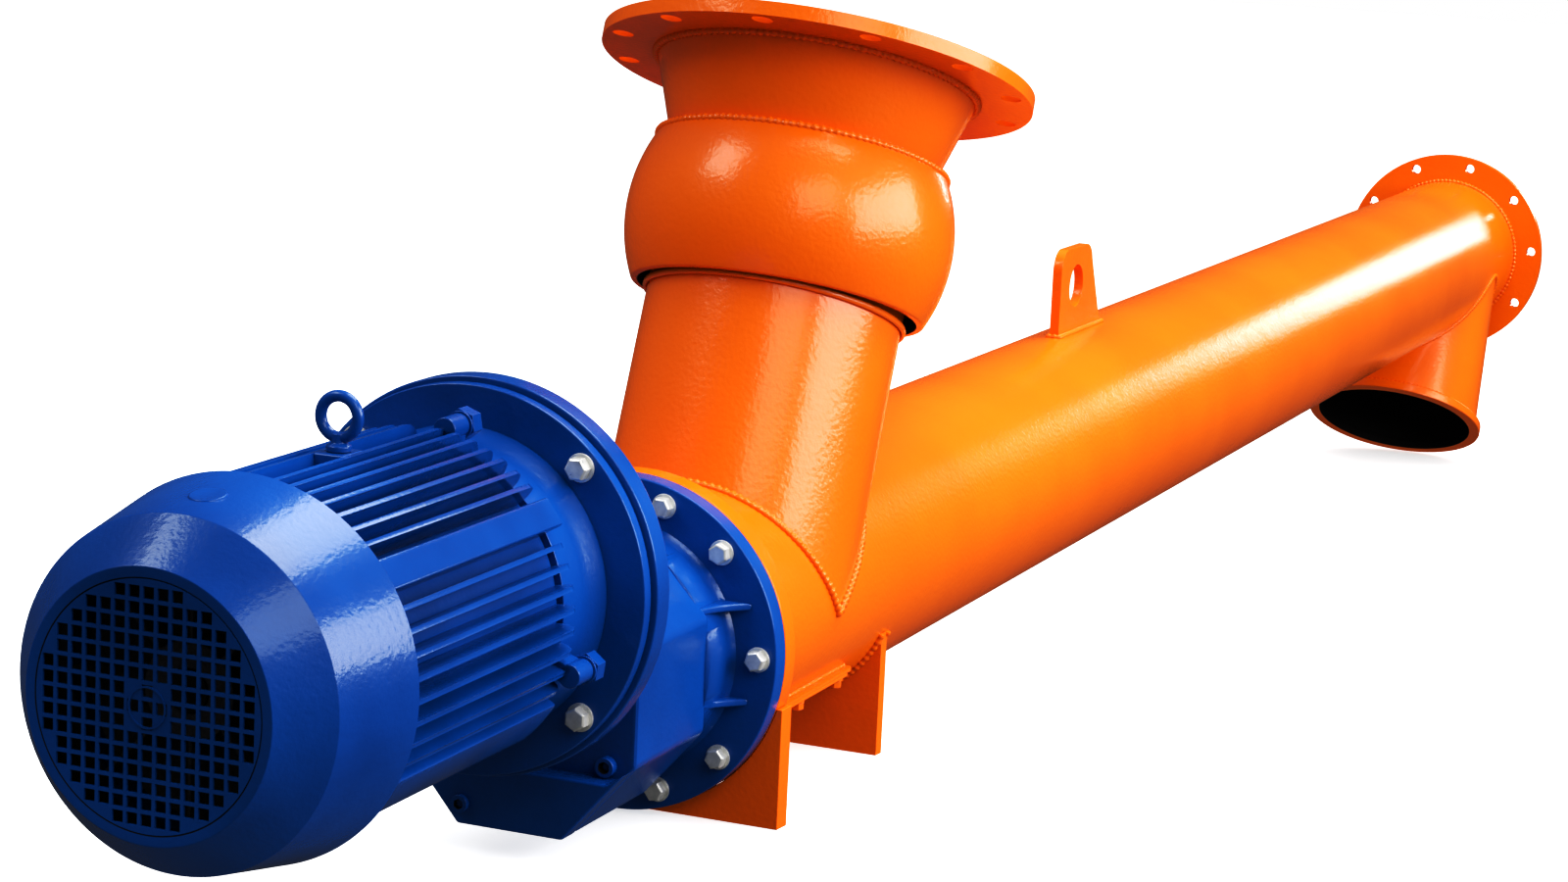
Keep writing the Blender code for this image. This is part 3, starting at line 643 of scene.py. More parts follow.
# %% Inlet
NECK_TOP = 0.3058
COLLAR_AT = 0.2478
COLLAR_R = 0.1136
COLLAR_T = 0.0060
BALL_R = 0.1410
BALL_WALL = 0.0060
BALL_LOW = -0.0634
BALL_TOP = 0.0635
CONE_LOW_R = 0.1150
CONE_TOP_R = 0.1390
INLET_FLANGE_AT = 0.1352
INLET_FLANGE_T = 0.0120
INLET_FLANGE_R = 0.1875
INLET_BORE_R = 0.1310
INLET_HOLES = 12
INLET_HOLE_R = 0.0090
INLET_PITCH_R = 0.1722
INLET_HOLE_TURN = math.radians(-25.0)


def ball_line(radius, low, high, count=28):
    return arc(radius, math.asin(high / radius), math.asin(low / radius), count)


def pegs(spots, radius, low, high, steps=40):
    return joined(*[moved(disc(radius, low, high, steps), shifted(x, y)) for x, y in spots])


def on_circle(count, radius, start=0.0):
    step = 2 * math.pi / count
    return [(radius * math.cos(start + i * step), radius * math.sin(start + i * step)) for i in range(count)]


neck = ring(TUBE_R, TUBE_R - WALL, 0, NECK_TOP)
piece("inlet_neck", neck, NECK, [tube_space()], 0, scale_and_shade_inside=True)
collar = ring(COLLAR_R, TUBE_R + SEAT, COLLAR_AT, COLLAR_AT + COLLAR_T)
piece("neck_collar", collar, NECK, edge=0.0018)
under, lip = BALL_TOP - BALL_WALL, CONE_LOW_R - WALL
shell_line = ball_line(BALL_R, BALL_LOW, BALL_TOP)
shell_line += ball_line(BALL_R - BALL_WALL, BALL_LOW, under)[::-1] + [(lip, under), (lip, BALL_TOP)]
piece("inlet_ball", turned(shell_line), BALL, edge=0.0015, scale_and_shade_inside=True)
low, high = BALL_TOP + SEAT, INLET_FLANGE_AT - SEAT
cone_line = [(CONE_TOP_R, high), (CONE_LOW_R, low), (CONE_LOW_R - WALL, low), (CONE_TOP_R - WALL, high)]
piece("inlet_cone", turned(cone_line), BALL, edge=0, scale_and_shade_inside=True)
low, high = INLET_FLANGE_AT, INLET_FLANGE_AT + INLET_FLANGE_T
hole_spots = on_circle(INLET_HOLES, INLET_PITCH_R, INLET_HOLE_TURN)
holes = pegs(hole_spots, INLET_HOLE_R, low - WALL, high + WALL)
piece("inlet_flange", ring(INLET_FLANGE_R, INLET_BORE_R, low, high), BALL, [(holes, BALL)], 0.0010)
softened("ball_seat", 0, RUBBER)

# %% [markdown]
# At the far end the material drops out of a spout that widens to a flat ring, cut to lean away from
# the tube. The end itself is a drilled flange with a blank plate and a bearing set back inside it.

# %% Outlet and far end
OUTLET_RING_R = 0.1280
OUTLET_BORE_R = 0.1115
OUTLET_RING_T = 0.0120
END_FLANGE_R = 0.1505
END_FLANGE_T = 0.0120
END_HOLES = 10
END_HOLE_R = 0.0070
END_PITCH_R = 0.1350
END_HOLE_TURN = math.radians(85.0)
END_PLATE_INSET = 0.0200
END_PLATE_T = 0.0100
SHAFT_R = 0.0300
BEARING_CAP = ((0, 0.016), (0.030, 0.016), (0.036, 0.010), (0.048, 0.010), (0.048, 0), (0, 0))

low = OUTLET_RING_T + SEAT
spout_line = [(SPOUT_TOP_R, SPOUT_LENGTH), (spout_radius(low), low), (spout_radius(low) - WALL, low)]
spout_line += [(SPOUT_TOP_R - WALL, SPOUT_LENGTH)]
above_axis = block((MOUTH_X - REACH, -REACH, 0), (MOUTH_X + REACH, REACH, REACH))
spout_cuts = [tube_space(), (above_axis, TUBE)]
piece("outlet_spout", turned(spout_line), MOUTH, spout_cuts, 0, scale_and_shade_inside=True)
mouth_ring = ring(OUTLET_RING_R, OUTLET_BORE_R, 0, OUTLET_RING_T)
piece("outlet_ring", mouth_ring, MOUTH, edge=0.0013, scale_and_shade_inside=True)
low = TUBE_LENGTH - END_FLANGE_T
hole_spots = on_circle(END_HOLES, END_PITCH_R, END_HOLE_TURN)
holes = pegs(hole_spots, END_HOLE_R, low - WALL, TUBE_LENGTH + WALL)
end_ring = ring(END_FLANGE_R, TUBE_R + SEAT, low, TUBE_LENGTH)
piece("end_flange", end_ring, LYING, [(holes, LYING)], 0.0010)
face = TUBE_LENGTH - END_PLATE_INSET
end_plate = ring(TUBE_R - WALL - SEAT, SHAFT_R + SEAT, face - END_PLATE_T, face)
piece("end_plate", end_plate, LYING, edge=0.0006)
low = face + SEAT
cap_line = [(r, low + height) for r, height in BEARING_CAP]
piece("end_bearing", turned(cap_line, 96, closed=False), LYING, edge=0.0010)

# %% [markdown]
# A flame-cut lug stands on the tube where a crane hook goes in. It is one plate with a slope on its
# far side, two round corners and an eye. Its corners are arcs, so the outline needs only their
# centres, and the eye is cut with a fine cylinder so that it stays round close up.

# %% Lifting lug
LUG_X = 1.0400
LUG_LENGTH = 0.1440
LUG_TOP_LENGTH = 0.1040
LUG_HEIGHT = 0.2010
LUG_T = 0.0100
LUG_EYE_R = 0.0225
LUG_EYE_Z = 0.1595
LUG_CORNER_R = 0.0220
LUG_SLOPE = 0.2

far, top = LUG_X + LUG_TOP_LENGTH - LUG_CORNER_R, LUG_HEIGHT - LUG_CORNER_R
lug_line = [(LUG_X, TUBE_R - WALL), (LUG_X + LUG_LENGTH, TUBE_R - WALL)]
lug_line += [(far + x, top + z) for x, z in arc(LUG_CORNER_R, LUG_SLOPE, math.pi / 2, 14)]
lug_line += [(LUG_X + LUG_CORNER_R + x, top + z) for x, z in arc(LUG_CORNER_R, math.pi / 2, math.pi, 14)]
eye = pegs([(LUG_X + LUG_TOP_LENGTH / 2, LUG_EYE_Z)], LUG_EYE_R, -LUG_T, LUG_T, 72)
lug = plate(lug_line, -LUG_T / 2, LUG_T / 2)
piece("lifting_lug", lug, TUBE @ ALONG, [tube_space(), (eye, TUBE @ ALONG)], 0.0010)

# %% [markdown]
# The gear unit is one iron casting: a shouldered housing, a round boss behind it that carries the
# output flange, and four ribs between them. Castings have generous radii, because sharp corners crack
# in the mould. So the housing is rounded before the boss and the ribs are joined to it, each rounded
# already, and only then are the faces merged.

# %% Gear housing
GEAR_FLANGE_T = 0.0190
HOUSING_BACK = -0.0550
HOUSING_FRONT = -0.1800
SUMP_FRONT = -0.2015
HOUSING_HALF = 0.0925
BOSS_R = 0.0970
BOSS_FOOT_R = 0.1010
BOSS_FILLET = ((0.0985, -0.0225), (BOSS_R, -0.0270))
SUMP_LOW = (0.0435, -0.1066)
HOUSING_SIDE = [(HOUSING_HALF, -0.0495), (HOUSING_HALF, 0.0400), (0.0560, 0.0790), (0.0340, 0.1100)]
RIB_HEIGHTS = (0.0440, -0.0320)
RIB_T = 0.0060
RIB_TIP = 0.1130
RIB_HOLLOW = 0.0060
CAST_EDGE = 0.0040


def mirrored(points):
    return points + [(-across, up) for across, up in reversed(points)]


def rounded_tool(shell, place, edge, segments=3):
    """A softened shape, as a mesh to join to another."""
    made = solid("tool", shell, place)
    soften(made, edge, segments)
    carrier = bmesh.new()
    carrier.from_mesh(made.data)
    bpy.data.objects.remove(made, do_unlink=True)
    return (carrier, STILL)


def rib_outline(side):
    """A web seen from above, whose free edge is hollowed between the housing and its tip."""
    back, start = -GEAR_FLANGE_T - SEAT, HOUSING_BACK - WALL
    root, low = HOUSING_HALF - 0.0125, HOUSING_HALF - WALL
    edge = []
    for i in range(7):
        share = i / 6
        dip = RIB_HOLLOW * math.sin(math.pi * share)
        edge.append((back + (start - back) * share, RIB_TIP + (low - RIB_TIP) * share - dip))
    return [(x, side * y) for x, y in [(start, root), (back, root), *edge]]


housing_shell = plate(mirrored([SUMP_LOW, *HOUSING_SIDE]), HOUSING_FRONT, HOUSING_BACK)
housing = solid("gear_housing_skin", housing_shell, TUBE @ ACROSS)
soften(housing, CAST_EDGE, 3)
boss_line = [(0, -GEAR_FLANGE_T - SEAT), (BOSS_FOOT_R, -GEAR_FLANGE_T - SEAT), *BOSS_FILLET]
boss_line += [(BOSS_R, HOUSING_BACK - WALL), (0, HOUSING_BACK - WALL)]
parts = [(turned(boss_line, closed=False), LYING)]
for side in (-1, 1):
    for height in RIB_HEIGHTS:
        web = plate(rib_outline(side), height - RIB_T / 2, height + RIB_T / 2)
        parts.append(rounded_tool(web, TUBE, 0.0020))
combine(housing, "UNION", parts)
soften(housing, 0)
keep(housing, BLUE, ("gear_housing",))
piece("gear_flange", disc(DRIVE_FLANGE_R, -GEAR_FLANGE_T, 0), LYING, edge=0.0015, finish=BLUE)

# %% [markdown]
# Low on the housing's front sits the oil sump, a shallow casting with a plug in its face, and a
# second plug closes the housing beside it. Each plug is a short screw with a six-sided socket.

# %% Sump and plugs
SUMP_LEDGE = (0.0790, -0.0587)
SIDE_PLUG_AT = (-0.0700, -0.0500)
FRONT_PLUG_AT = (0.0400, -0.0900)
SOCKET_SHARE = 0.52
SOCKET_FLOOR = 0.40

sump = plate(mirrored([SUMP_LOW, HOUSING_SIDE[0], SUMP_LEDGE]), SUMP_FRONT, HOUSING_FRONT - SEAT)
piece("gear_sump", sump, TUBE @ ACROSS, edge=0.0030, finish=BLUE, segments=3)


def plug(node, start, spot, radius, depth):
    place = TUBE @ shifted(start, *spot) @ LAID
    socket = disc(radius * SOCKET_SHARE, -depth - WALL, -depth * SOCKET_FLOOR, 6)
    # The near-black on the socket's walls is painted shade in the recess
    piece(node, disc(radius, -depth, 0, 48), place, [(socket, place)], 0.0009, BLUE, scale_and_shade_inside=True)


plug("oil_plug_side", HOUSING_FRONT - SEAT, SIDE_PLUG_AT, 0.0078, 0.008)
plug("oil_plug_front", SUMP_FRONT - SEAT, FRONT_PLUG_AT, 0.0070, 0.005)

# %% [markdown]
# Between the gears and the motor are a short drum and a pair of round flanges with a spigot between
# them, which leaves a thin dark line. The motor's front end shield is a smooth cone behind them. All
# of these are turned, so a profile each is enough.

# %% Adapter and motor flanges
ADAPTER_R = 0.0900
ADAPTER_FLANGE_R = 0.1465
ADAPTER_BACK = -0.2515
ADAPTER_FRONT = -0.2720
SPIGOT_R = 0.1385
MOTOR_FLANGE_R = 0.1425
MOTOR_FLANGE_BACK = -0.2742
MOTOR_FLANGE_FRONT = -0.2850
BODY_FRONT = -0.3400
SHIELD_RIM_R = 0.1118
SHIELD_R = 0.1065
SUMP_GAP = 0.0087
SHIELD_SHOULDER = (
    (0.1135, 0), (0.1132, -0.0025), (SHIELD_RIM_R, -0.006), (0.1080, -0.016), (SHIELD_R, -0.024),
)

sump_room = block((-REACH, -REACH, -REACH), (0, REACH, SUMP_LEDGE[1] + SUMP_GAP - MOTOR_RISE))
for node, radius, low, high, edge, cuts in (
    ("motor_adapter", ADAPTER_R, ADAPTER_BACK + SEAT, HOUSING_FRONT - SEAT, 0.0015, [(sump_room, MOTOR)]),
    ("adapter_flange", ADAPTER_FLANGE_R, ADAPTER_FRONT, ADAPTER_BACK, 0.0016, ()),
    ("flange_spigot", SPIGOT_R, MOTOR_FLANGE_BACK + SEAT, ADAPTER_FRONT - SEAT, 0, ()),
    ("motor_flange", MOTOR_FLANGE_R, MOTOR_FLANGE_FRONT, MOTOR_FLANGE_BACK, 0.0012, ()),
):
    piece(node, disc(radius, low, high), MOTOR_LYING, cuts, edge, BLUE)
back = MOTOR_FLANGE_FRONT - SEAT
shield_line = [(0, back), *[(r, back + height) for r, height in SHIELD_SHOULDER]]
shield_line += [(SHIELD_R, BODY_FRONT + SEAT), (0, BODY_FRONT + SEAT)]
piece("motor_end_shield", turned(shield_line, closed=False), MOTOR_LYING, edge=0.0008, finish=BLUE)

# %% [markdown]
# From here on much of the machine repeats: fins, bolts, holes, blades and the ripples of a weld. They
# could be copied in a loop, but a Geometry Nodes tree states the rule once, with a named input for
# each size. These helpers open and close a tree, stand a part on each point, and run the tree on a
# mesh of points or of paths. The result is made a plain mesh, and the modifier is gone before the
# piece is tied to its body.

# %% Helpers for Geometry Nodes
def open_tree(name, *sizes):
    """A tree whose inputs are a geometry, the named sizes and a material."""
    tree = bpy.data.node_groups.new(name, "GeometryNodeTree")
    face = tree.interface
    face.new_socket("Geometry", in_out="INPUT", socket_type="NodeSocketGeometry")
    for size in sizes:
        kind = "NodeSocketInt" if size in ("Seed", "Count", "Turns") else "NodeSocketFloat"
        face.new_socket(size, in_out="INPUT", socket_type=kind)
    face.new_socket("Material", in_out="INPUT", socket_type="NodeSocketMaterial")
    face.new_socket("Geometry", in_out="OUTPUT", socket_type="NodeSocketGeometry")
    return tree, tree.nodes.new("NodeGroupInput").outputs


def close_tree(tree, start, result):
    real = add(tree, "GeometryNodeRealizeInstances", Geometry=result).outputs[0]
    painted = add(tree, "GeometryNodeSetMaterial", Geometry=real, Material=start["Material"]).outputs[0]
    tree.links.new(painted, tree.nodes.new("NodeGroupOutput").inputs[0])
    return tree


def xyz(tree, x=0.0, y=0.0, z=0.0):
    return add(tree, "ShaderNodeCombineXYZ", X=x, Y=y, Z=z).outputs[0]


def carried(tree, geometry, by):
    return add(tree, "GeometryNodeTransform", Geometry=geometry, Translation=by).outputs[0]


def coordinates(tree):
    place = add(tree, "GeometryNodeInputPosition").outputs[0]
    return add(tree, "ShaderNodeSeparateXYZ", Vector=place).outputs


def prism(tree, sides, radius, depth):
    made = add(tree, "GeometryNodeMeshCylinder", Vertices=sides, Radius=radius, Depth=depth)
    return made.outputs["Mesh"]


def on_points(tree, points, part, turn=None):
    """A part on each point, turned by Euler angles."""
    made = add(tree, "GeometryNodeInstanceOnPoints", Points=points, Instance=part)
    if turn is not None:
        rotation = add(tree, "FunctionNodeEulerToRotation", Euler=turn).outputs[0]
        tree.links.new(rotation, made.inputs["Rotation"])
    return made.outputs[0]


def merged(tree, *geometries):
    made = tree.nodes.new("GeometryNodeJoinGeometry")
    for geometry in geometries:
        tree.links.new(geometry, made.inputs[0])
    return made.outputs[0]


def grown(name, base, tree, finish, place, sizes):
    """Runs a tree on a base mesh, and returns the result as a plain mesh at its place."""
    made = scene_object(name, base)
    modifier = made.modifiers.new("tree", "NODES")
    modifier.node_group = tree
    values = dict(sizes, Material=finish)
    for item in tree.interface.items_tree:
        if item.in_out == "INPUT" and item.name in values:
            modifier[item.identifier] = values[item.name]
    bpy.context.view_layer.update()
    apply_modifiers(made)
    made.data.transform(place)
    return made


def point_mesh(name, points):
    mesh = bpy.data.meshes.new(name)
    mesh.from_pydata([tuple(point) for point in points], [], [])
    return mesh


print("tree helpers are ready")

# %% [markdown]
# The motor's stator housing is a finned casting. Each fin is a thin plate that stands out from the
# core, with both ends rounded off so the casting leaves its mould. The tree draws that plate once,
# fillets its corners, gives it its thickness, and stands a copy on every point, facing outwards.

# %% Fins
FIN_T = 0.0036
BODY_REAR = -0.5960
CORE_R = 0.1020
FIN_SINK = 0.0040
UPPER_FINS = (84, 77.9, 71.8, 65.7, 59.6, 53.5, 47.4)
SIDE_FINS = (25.5, 18.2, 10.8, 3.5, -3.9, -11.2, -18.6, -25.9)
KEEL_FINS = (-57, -65, -73, -81, -90, -99, -107, -115, -123)
UPPER_TIP = 0.1232
SIDE_TIP = 0.1200
KEEL_TIP = 0.1195
UPPER_NOSE = 0.0140
FIN_NOSE = 0.0120


def fin_tree():
    tree, start = open_tree("fins", "Length", "Height", "Thickness", "Nose")
    length, height, thickness = start["Length"], start["Height"], start["Thickness"]
    outline = add(tree, "GeometryNodeCurvePrimitiveQuadrilateral", Width=length, Height=height)
    fillet = add(tree, "GeometryNodeFilletCurve", {"mode": "POLY"}, Curve=outline.outputs[0], Count=5)
    tree.links.new(start["Nose"], fillet.inputs["Radius"])
    face = add(tree, "GeometryNodeFillCurve", {"mode": "NGONS"}, Curve=fillet.outputs[0]).outputs[0]
    pushed = add(tree, "GeometryNodeExtrudeMesh", Mesh=face, Offset_Scale=thickness, Individual=False)
    other = add(tree, "GeometryNodeFlipFaces", Mesh=face).outputs[0]
    whole = merged(tree, pushed.outputs[0], other)
    whole = add(tree, "GeometryNodeMergeByDistance", Geometry=whole, Distance=MERGE).outputs[0]
    fin = carried(tree, whole, xyz(tree, y=times(tree, height, 0.5), z=times(tree, thickness, -0.5)))
    spot = coordinates(tree)
    turn_out = xyz(tree, x=maths(tree, "ARCTAN2", spot["Z"], spot["Y"]))
    return close_tree(tree, start, on_points(tree, start["Geometry"], fin, turn_out))


FINS = fin_tree()


def fin_row(name, angles, tip, nose):
    root, centre = CORE_R - FIN_SINK, (BODY_FRONT + BODY_REAR) / 2
    turns = [math.radians(angle) for angle in angles]
    spots = [(centre, root * math.cos(turn), root * math.sin(turn)) for turn in turns]
    sizes = {"Length": BODY_FRONT - BODY_REAR, "Height": tip - root, "Thickness": FIN_T, "Nose": nose}
    row = grown(name, point_mesh(name, spots), FINS, BLUE, MOTOR, sizes)
    soften(row, 0.0009)
    return row


def both_sides(angles):
    return [*angles, *[180 - angle for angle in angles]]


rows = [
    fin_row("upper_fins", both_sides(UPPER_FINS), UPPER_TIP, UPPER_NOSE),
    fin_row("side_fins", both_sides(SIDE_FINS), SIDE_TIP, FIN_NOSE),
    fin_row("keel_fins", KEEL_FINS, KEEL_TIP, FIN_NOSE),
]
print("fins", sum(len(row.data.polygons) for row in rows), "faces")

# %% [markdown]
# Between the fins each side has two smooth pads, where feet or a terminal box could be bolted on, and
# the whole sits on a plain round core. The pads are sectors of a ring, so an arc on each side and a
# straight line between them are enough.

# %% Motor body
PAD_SET_BACK = 0.0040
PADS = ((31.5, 42.0, 0.1225), (-50.0, -31.5, 0.1215))


def sector(low, high, tip):
    low, high = math.radians(low), math.radians(high)
    return arc(tip, low, high, 8) + arc(CORE_R - FIN_SINK, high, low, 8)


bodies = [moved(disc(CORE_R, BODY_REAR, BODY_FRONT), LAID)]
for low, high, tip in PADS:
    for first, last in ((low, high), (180 - high, 180 - low)):
        pad = plate(sector(first, last, tip), BODY_REAR + PAD_SET_BACK, BODY_FRONT)
        bodies.append(moved(pad, ACROSS))
body = solid("motor_body_skin", joined(*bodies), MOTOR)
soften(body, 0.0020, 3)
absorb(body, *rows)
body.data.shade_smooth()
body.data.set_sharp_from_angle(angle=SHARP)
keep(body, BLUE, ("motor_body",))

# %% [markdown]
# A pressed steel cowl covers the fan at the motor's rear: a wide band that tapers a little, a conical
# step and a flat front with a round hole for the grille. It is thin sheet, so it is one closed
# profile with an outer and an inner line.

# %% Rear shield and cowl
COWL_REAR = -0.5860
COWL_EDGE = -0.6620
COWL_FACE = -0.6950
COWL_REAR_R = 0.1285
COWL_EDGE_R = 0.1150
COWL_FACE_R = 0.0876
COWL_T = 0.0020
GRILLE_R = 0.0800
REAR_RIM_R = 0.1200
REAR_RIM_BORE = CORE_R - 0.0200
REAR_RIM_T = 0.0030
SWAGE_X = -0.6290
SWAGE_R = 0.0130
SWAGE_RISE = 0.0008

# A flange on the shield fills the cowl's open end, so that no daylight shows through the grille
rear_rim = ring(REAR_RIM_R, REAR_RIM_BORE, BODY_REAR - SEAT - REAR_RIM_T, BODY_REAR - SEAT)
absorb(softened("motor_rear_shield", 0.0006, BLUE), solid("rear_rim", rear_rim, MOTOR_LYING))
cowl_line = [(COWL_REAR_R, COWL_REAR), (COWL_EDGE_R, COWL_EDGE), (COWL_FACE_R, COWL_FACE)]
cowl_line += [(GRILLE_R + SEAT, COWL_FACE), (GRILLE_R + SEAT, COWL_FACE + COWL_T)]
cowl_line += [(COWL_FACE_R - COWL_T / 2, COWL_FACE + COWL_T), (COWL_EDGE_R - COWL_T, COWL_EDGE + COWL_T / 2)]
cowl_line += [(COWL_REAR_R - COWL_T, COWL_REAR)]
cowl_shell = turned(cowl_line, FINE)
# Its inner faces get the near-black as painted shade, though the sheet is blue inside
cowl = piece("fan_cowl", cowl_shell, MOTOR_LYING, edge=0.0006, finish=BLUE, scale_and_shade_inside=True)
# A round swage on top of the band stiffens the sheet
band_slope = math.atan2(COWL_REAR_R - COWL_EDGE_R, COWL_REAR - COWL_EDGE)
band_r = COWL_EDGE_R + (SWAGE_X - COWL_EDGE) * math.tan(band_slope)
swage_line = [(0, SWAGE_RISE * 0.4), (SWAGE_R * 0.5, SWAGE_RISE * 0.5), (SWAGE_R * 0.8, SWAGE_RISE)]
swage_line += [(SWAGE_R * 0.9, SWAGE_RISE * 0.8), (SWAGE_R, -COWL_T / 2), (0, -COWL_T / 2)]
swage_place = MOTOR @ shifted(x=SWAGE_X, z=band_r) @ tilted(-band_slope)
swage = solid("swage", turned(swage_line, 64, closed=False), swage_place)
soften(swage, 0.0003)
absorb(cowl, swage)

# %% [markdown]
# The grille is a disc punched with 173 square holes on a square grid, around a small round boss. As
# many Boolean cutters placed in a loop would work, but this is just what a grid of points is for: the
# tree keeps the points inside the round, drops the four beside the boss, and cuts the punched
# squares out of the disc in one go.

# %% Grille
GRILLE_PITCH = 0.0102
GRILLE_HOLE = 0.0078
GRILLE_REACH = 0.0760
GRILLE_STEPS = 14
BESIDE_BOSS = (1.2, 1.8)
BOSS_RING_R = 0.0135
BOSS_RING_W = 0.0012
BOSS_RING_LOW = -0.0006
BOSS_RING_HIGH = 0.0008


def grille_tree():
    tree, start = open_tree("grille", "Radius", "Thickness", "Pitch", "Hole", "Reach")
    sheet = prism(tree, 160, start["Radius"], start["Thickness"])
    span = times(tree, start["Pitch"], float(GRILLE_STEPS))
    rows = GRILLE_STEPS + 1
    grid = add(tree, "GeometryNodeMeshGrid", Size_X=span, Size_Y=span, Vertices_X=rows, Vertices_Y=rows)
    place = add(tree, "GeometryNodeInputPosition").outputs[0]
    away = add(tree, "ShaderNodeVectorMath", {"operation": "LENGTH"}, Vector=place).outputs["Value"]
    steps = maths(tree, "DIVIDE", away, start["Pitch"])
    outside = maths(tree, "GREATER_THAN", away, start["Reach"])
    low, high = BESIDE_BOSS
    beside = times(tree, maths(tree, "GREATER_THAN", steps, low), maths(tree, "LESS_THAN", steps, high))
    kept = add(tree, "GeometryNodeDeleteGeometry", {"domain": "POINT"}, Geometry=grid.outputs[0])
    tree.links.new(maths(tree, "ADD", outside, beside), kept.inputs["Selection"])
    size = xyz(tree, start["Hole"], start["Hole"], times(tree, start["Thickness"], 4.0))
    punch = add(tree, "GeometryNodeMeshCube", Size=size).outputs["Mesh"]
    punches = on_points(tree, kept.outputs[0], punch)
    punches = add(tree, "GeometryNodeRealizeInstances", Geometry=punches).outputs[0]
    cut = add(tree, "GeometryNodeMeshBoolean", {"operation": "DIFFERENCE"}, Mesh_1=sheet, Mesh_2=punches)
    return close_tree(tree, start, cut.outputs["Mesh"])


grille_sizes = {"Radius": GRILLE_R, "Thickness": COWL_T, "Pitch": GRILLE_PITCH}
grille_sizes.update({"Hole": GRILLE_HOLE, "Reach": GRILLE_REACH})
grille_place = MOTOR @ shifted(x=COWL_FACE + COWL_T / 2) @ LAID
nothing = point_mesh("fan_grille_skin", [])
grille = grown("fan_grille_skin", nothing, grille_tree(), BLUE, grille_place, grille_sizes)
soften(grille, 0.0004)
boss_ring = ring(BOSS_RING_R, BOSS_RING_R - BOSS_RING_W, BOSS_RING_LOW, BOSS_RING_HIGH, 64)
absorb(grille, solid("boss_ring", boss_ring, MOTOR @ shifted(x=COWL_FACE) @ LAID))
keep(grille, BLUE, ("fan_grille",))

# %% [markdown]
# Behind the grille a moulded fan turns on the shaft's end: a hub, a thin web and eight blades. It is
# the one part that moves, so it rides on its own body. The tree stands a blade at each point of a
# circle and turns it outwards.

# %% Fan
FAN_R = 0.0930
FAN_HUB_R = 0.0320
FAN_FRONT = -0.6480
FAN_BACK = -0.6160
FAN_BLADES = 8
FAN_BLADE_T = 0.0024
FAN_WEB_T = 0.0030
FAN_WEB_ROOT = 0.0040
SHAFT_END_R = 0.0140


def blade_tree():
    tree, start = open_tree("blades", "Length", "Thickness", "Depth")
    size = xyz(tree, start["Length"], start["Thickness"], start["Depth"])
    blade = add(tree, "GeometryNodeMeshCube", Size=size).outputs["Mesh"]
    spot = coordinates(tree)
    turn_out = xyz(tree, z=maths(tree, "ARCTAN2", spot["Y"], spot["X"]))
    return close_tree(tree, start, on_points(tree, start["Geometry"], blade, turn_out))


blade_middle = (FAN_HUB_R + FAN_R - WALL) / 2
spots = [(x, y, 0) for x, y in on_circle(FAN_BLADES, blade_middle)]
blade_sizes = {"Length": FAN_R - FAN_HUB_R + COWL_T, "Thickness": FAN_BLADE_T}
blade_sizes["Depth"] = FAN_BACK - FAN_FRONT - 2 * COWL_T
blades = grown("blades", point_mesh("blades", spots), blade_tree(), NYLON, shifted(z=FAN_X), blade_sizes)
web_line = [(FAN_R, FAN_BACK), (FAN_R, FAN_BACK - FAN_WEB_T), (FAN_HUB_R, FAN_BACK - FAN_WEB_ROOT)]
web_line += [(FAN_HUB_R, FAN_FRONT), (SHAFT_END_R + SEAT, FAN_FRONT), (SHAFT_END_R + SEAT, FAN_BACK)]
wheel = turned(web_line, 96)
wheel.from_mesh(blades.data)
bpy.data.objects.remove(blades, do_unlink=True)
fan = solid("cooling_fan_skin", wheel, MOTOR_LYING)
soften(fan, 0.0005)
keep(fan, NYLON, ("cooling_fan",), "fan_rotor")
stub = disc(SHAFT_END_R, FAN_FRONT - COWL_T, BODY_REAR - COWL_T, 64)
piece("motor_shaft_end", stub, MOTOR_LYING, finish=SHAFT_STEEL_WITH_PAINTED_SHADE, body="fan_rotor")

# %% [markdown]
# A forged eye bolt on top of the motor takes a hook. It is a ring on a short neck over a flat cast
# pad. The ring is a true torus, and the neck is turned with a small collar where it is screwed down.

# %% Eye bolt
EYE_X = -0.4680
EYE_CENTRE = 0.1462
EYE_RING_R = 0.0140
EYE_WIRE_R = 0.0040
EYE_SHANK_R = 0.0085
EYE_NECK_TOP = 0.1352
PAD_TOP = 0.1230
PAD_HALF = (0.0140, 0.0115)

hoop = turned([(EYE_RING_R + x, z) for x, z in arc(EYE_WIRE_R, 0, -2 * math.pi, 21)[:-1]], 64)
neck_line = [(0, EYE_NECK_TOP), (0.0046, EYE_NECK_TOP), (0.0052, PAD_TOP + 0.006)]
neck_line += [(EYE_SHANK_R, PAD_TOP + 0.004), (EYE_SHANK_R, PAD_TOP + SEAT), (0, PAD_TOP + SEAT)]
neck_piece = turned(neck_line, 40, closed=False)
eye_shape = joined(moved(hoop, shifted(z=EYE_CENTRE) @ LAID), neck_piece)
piece("eye_bolt", eye_shape, MOTOR @ shifted(x=EYE_X), edge=0.0006, finish=BLUE)
half_x, half_y = PAD_HALF
pad = block((EYE_X - half_x, -half_y, CORE_R), (EYE_X + half_x, half_y, PAD_TOP))
piece("eye_bolt_pad", pad, MOTOR, edge=0.0016, finish=BLUE)

# %% [markdown]
# Inside the tube the auger is a steel strip wound on a shaft. A modelled strip could follow a curve,
# but the surface has an exact rule: along the strip the angle and the advance grow together. The tree
# takes a flat grid and sends each point to its place on that screw surface. Solidify then gives the
# strip its thickness.

